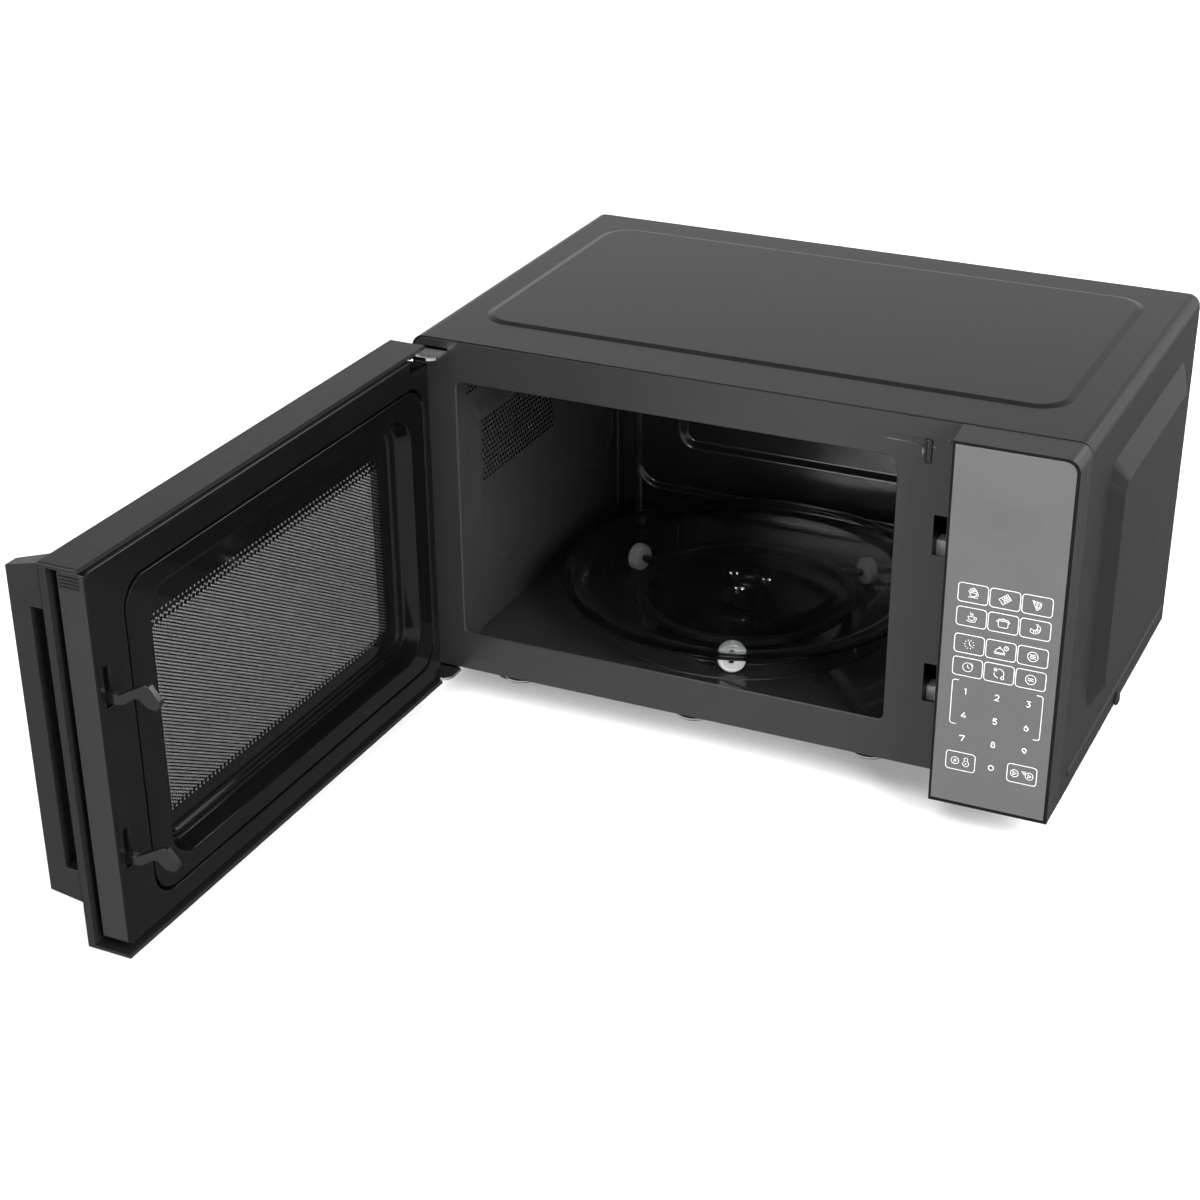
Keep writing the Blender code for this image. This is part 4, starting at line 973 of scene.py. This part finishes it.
def door_panel():
    """The pressed panel as a skin through rounded outlines, given its thickness behind."""
    (ring_u, ring_z, ring_r), (u, z, r) = RING, WINDOW_EDGE
    outer = [(0, -13.5), (0, -1.9), (-0.25, -1.05), (-0.8, -0.45), (-1.7, -0.2)]
    inner = [(2.2, -0.2), (1.0, -0.42), (0.2, -1.1), (-0.4, -2.4), (-2.7, -9.4), (-3.1, -10.4),
             (-3.9, -11.1), (-5.0, -11.35), (-7.0, -11.5), (-7.8, -11.75), (-8.3, -12.4), (-8.6, -13.1),
             (-9.2, -13.75), (-10.4, -14.0)]
    sections = [(rounded(ring_u, ring_z, max(ring_r + g, 1), 12, grow=g), v) for g, v in outer]
    sections += [(rounded(u, z, r + g, 12, grow=g), v) for g, v in inner]
    sections.append((rounded(FIELD_U, FIELD_Z, 0.5, 12), FIELD_V))
    skin = loft("y", sections, ends=False)
    bm = bmesh.new()
    bm.from_mesh(skin.data)
    flat = max(bm.faces, key=lambda f: f.calc_area())
    if flat.normal.y < 0:
        bmesh.ops.reverse_faces(bm, faces=bm.faces)
    bm.to_mesh(skin.data)
    bm.free()
    solid = skin.modifiers.new("solid", "SOLIDIFY")
    solid.thickness, solid.offset = 0.8, -1
    settle(skin)
    made("door_pressing", skin, DOOR_ENAMEL, ["door_panel"], "door", bevel=0, sharp=60)

    first, step = 46.9, 1.957

    def hole(a, b):
        odd = round((a - first) / step) % 2
        single = 71.4 < b < 72.9 if odd else 194.5 < b < 196
        return 46 < a < 289.3 and (73.9 < b < 189.0 or 189.9 < b < 192.2 or single)

    bm = hex_sheet(130, 60, 2.26, 0.74, (first - step * 3, 67.7), hole, 6, lambda a, b: (a, FIELD_V, b))
    trim(bm, 0, FIELD_U, 2, FIELD_Z)
    made("door_screen", obj_from(bm), DOOR_ENAMEL, body="door", bevel=0)
    film = prism("y", rounded((30, 305), (52, 218), 6, 6), -16.2, -15.6)
    made("window_film", film, FILM, ["door_film"], "door", bevel=0)
    pane = prism("y", rounded((5.3, 340.7), (DOOR_Z[0] + 5.3, DOOR_Z[1] - 5.3), 3, 6), -THICK, -24.4)
    made("door_pane", pane, DARK_GLASS, ["door_glass"], "door", bevel=0.3)


def handle():
    outer, inner = -49.3, -THICK - 0.3
    back = rounded((343.5, LENGTH - 0.4), (46.5, 254.6), 0)
    front = rounded((349.0, LENGTH - 0.4), (49.6, 249.6), 0)
    bar = loft("y", [(back, inner), (front, outer)])
    cut(bar, box((330, 370), (-36.3, -20), (67.5, 228)))
    made("handle", bar, BLACK, ["door_handle"], "door", bevel=0.7, segments=4)


def hook_outline(base):
    steps = ((-4.0, 2.4), (2.0, 2.6), (9.0, 3.6), (12.2, 5.6), (17.4, 9.4), (20.7, 9.2), (25.2, 5.6),
             (30.8, 5.2), (33.4, 8.6), (33.2, 11.0), (27.2, 18.6), (24.6, 19.2), (20.0, 16.2),
             (13.0, 12.4), (7.0, 9.0), (-4.0, 8.6))
    return [(v, base + z) for v, z in steps]


def latch_lever():
    plate_bottom = 23.0
    outline = [(-12, plate_bottom + 38), (-4, plate_bottom + 38)]
    for base in (49.3, 149.3):
        outline += hook_outline(plate_bottom + base)
    outline += [(-4, plate_bottom + 186), (-12, plate_bottom + 186)]
    lever = prism("x", outline, 346, 350)
    made("latch_hooks", lever, HOOK, ["latch_lever"], "latch", angle=15, sharp=40)


# ---- assembly

outer_cover()
front_plate()
cavity()
base_sheet()
rear_panel()
feet()
cord_gland()
screw("screw_side", "side_screw", "x", BLACK)
for number in (1, 2):
    screw(f"screw_rear_{number}", f"rear_screw_{number}", "y", BRIGHT)
tray()
coupler()
roller_ring()
control_panel()
internal_materials()
hinge_bracket("hinge_upper", "hinge_bracket_upper", (247.5, 249.5), (245.5, 252.9), (228, 249.5))
hinge_bracket("hinge_lower", "hinge_bracket_lower", (20.4, 22.4), (20.4, 28.4), (20.4, 44))
door_frame()
choke_cover()
door_panel()
handle()
latch_lever()


# ---- stage, light and camera

def stage():
    bm = bmesh.new()
    bmesh.ops.create_grid(bm, x_segments=1, y_segments=1, size=20)
    floor = linked("floor", mesh_from(bm, "floor"))
    paper = look("paper", (0.90, 0.90, 0.90), 0.8, tint=(0.005, 0.4),
                 bumps=[("fine", 0.002, 2e-5)], emission_color=(1, 1, 1, 1))
    nodes, links = paper.node_tree.nodes, paper.node_tree.links
    reach = nodes.new("ShaderNodeVectorMath")
    reach.operation = "LENGTH"
    links.new(nodes.new("ShaderNodeTexCoord").outputs["Object"], reach.inputs[0])
    links.new(ranged(nodes, links, reach.outputs["Value"], 0.12, 1.0, (1.0, 3.2)),
              nodes["Principled BSDF"].inputs["Emission Strength"])
    floor.data.materials.append(paper)
    floor.visible_glossy = False

    world = bpy.data.worlds.new("studio")
    bpy.context.scene.world = world
    world.use_nodes = True
    nodes, links = world.node_tree.nodes, world.node_tree.links
    background = nodes["Background"]
    coordinates = nodes.new("ShaderNodeTexCoord")
    split = nodes.new("ShaderNodeSeparateXYZ")
    links.new(coordinates.outputs["Generated"], split.inputs[0])
    height = ranged(nodes, links, split.outputs["Z"], 0, 1, (-1, 1))
    ramp = nodes.new("ShaderNodeValToRGB")
    ramp.color_ramp.elements.remove(ramp.color_ramp.elements[0])
    ramp.color_ramp.elements[0].position, ramp.color_ramp.elements[0].color = 0.0, (0.35, 0.35, 0.35, 1)
    for z, grey in ((-0.5, 0.55), (-0.1, 0.9), (0.0, 1.0), (0.24, 0.95), (0.38, 0.66), (0.44, 0.5),
                    (0.52, 0.24), (0.66, 0.1), (1.0, 0.05)):
        ramp.color_ramp.elements.new((z + 1) / 2).color = (grey, grey, grey, 1)
    links.new(height, ramp.inputs["Fac"])
    links.new(ramp.outputs["Color"], background.inputs["Color"])
    frontward = nodes.new("ShaderNodeVectorMath")
    frontward.operation = "DOT_PRODUCT"
    links.new(coordinates.outputs["Generated"], frontward.inputs[0])
    frontward.inputs[1].default_value = (-0.3, -0.95, 0)
    below = nodes.new("ShaderNodeMix")
    links.new(ranged(nodes, links, frontward.outputs["Value"], 0.34, 1.3, (-0.7, 0.7)), below.inputs["A"])
    below.inputs["B"].default_value = 1.0
    links.new(ranged(nodes, links, split.outputs["Z"], 0, 1, (-0.3, 0.0)), below.inputs["Factor"])
    links.new(below.outputs["Result"], background.inputs["Strength"])


def lamp(name, spot, target, size, power, glossy=True, diffuse=True):
    light = bpy.data.lights.new(name, "AREA")
    light.shape, light.size, light.size_y, light.energy = "RECTANGLE", size[0], size[1], power
    obj = linked(name, light)
    obj.location = spot
    obj.rotation_euler = (Vector(target) - Vector(spot)).to_track_quat("-Z", "Y").to_euler()
    obj.visible_glossy, obj.visible_diffuse = glossy, diffuse


def camera():
    data = bpy.data.cameras.new("camera")
    data.sensor_width, data.lens = 36, 70.944
    data.shift_x, data.shift_y = -0.01791, 0.0928
    obj = linked("camera", data)
    obj.location = (0.50552, -1.20015, 0.77657)
    turn = Matrix.Rotation(math.radians(24.513), 4, "Z") @ Matrix.Rotation(math.radians(90 - 29.14), 4, "X") \
        @ Matrix.Rotation(math.radians(-0.151), 4, "Z")
    obj.rotation_euler = turn.to_euler()
    bpy.context.scene.camera = obj


stage()
lamp("overhead", (0.1, 0.1, 2.6), (0, 0.0, 0.0), (4.0, 4.0), 150, glossy=False)
lamp("side", (1.9, -0.8, 0.9), (0, 0, 0.1), (1.4, 1.4), 125, glossy=False)
lamp("front_strip", (-0.7, -1.9, 0.95), (0.1, 0.1, 0.1), (1.4, 0.5), 25, diffuse=False)
lamp("rim_strip", (1.3, 1.5, 1.5), (-0.2, 0.0, 0.1), (1.2, 0.3), 16, diffuse=False)
camera()
bpy.context.scene.view_settings.view_transform = "Standard"
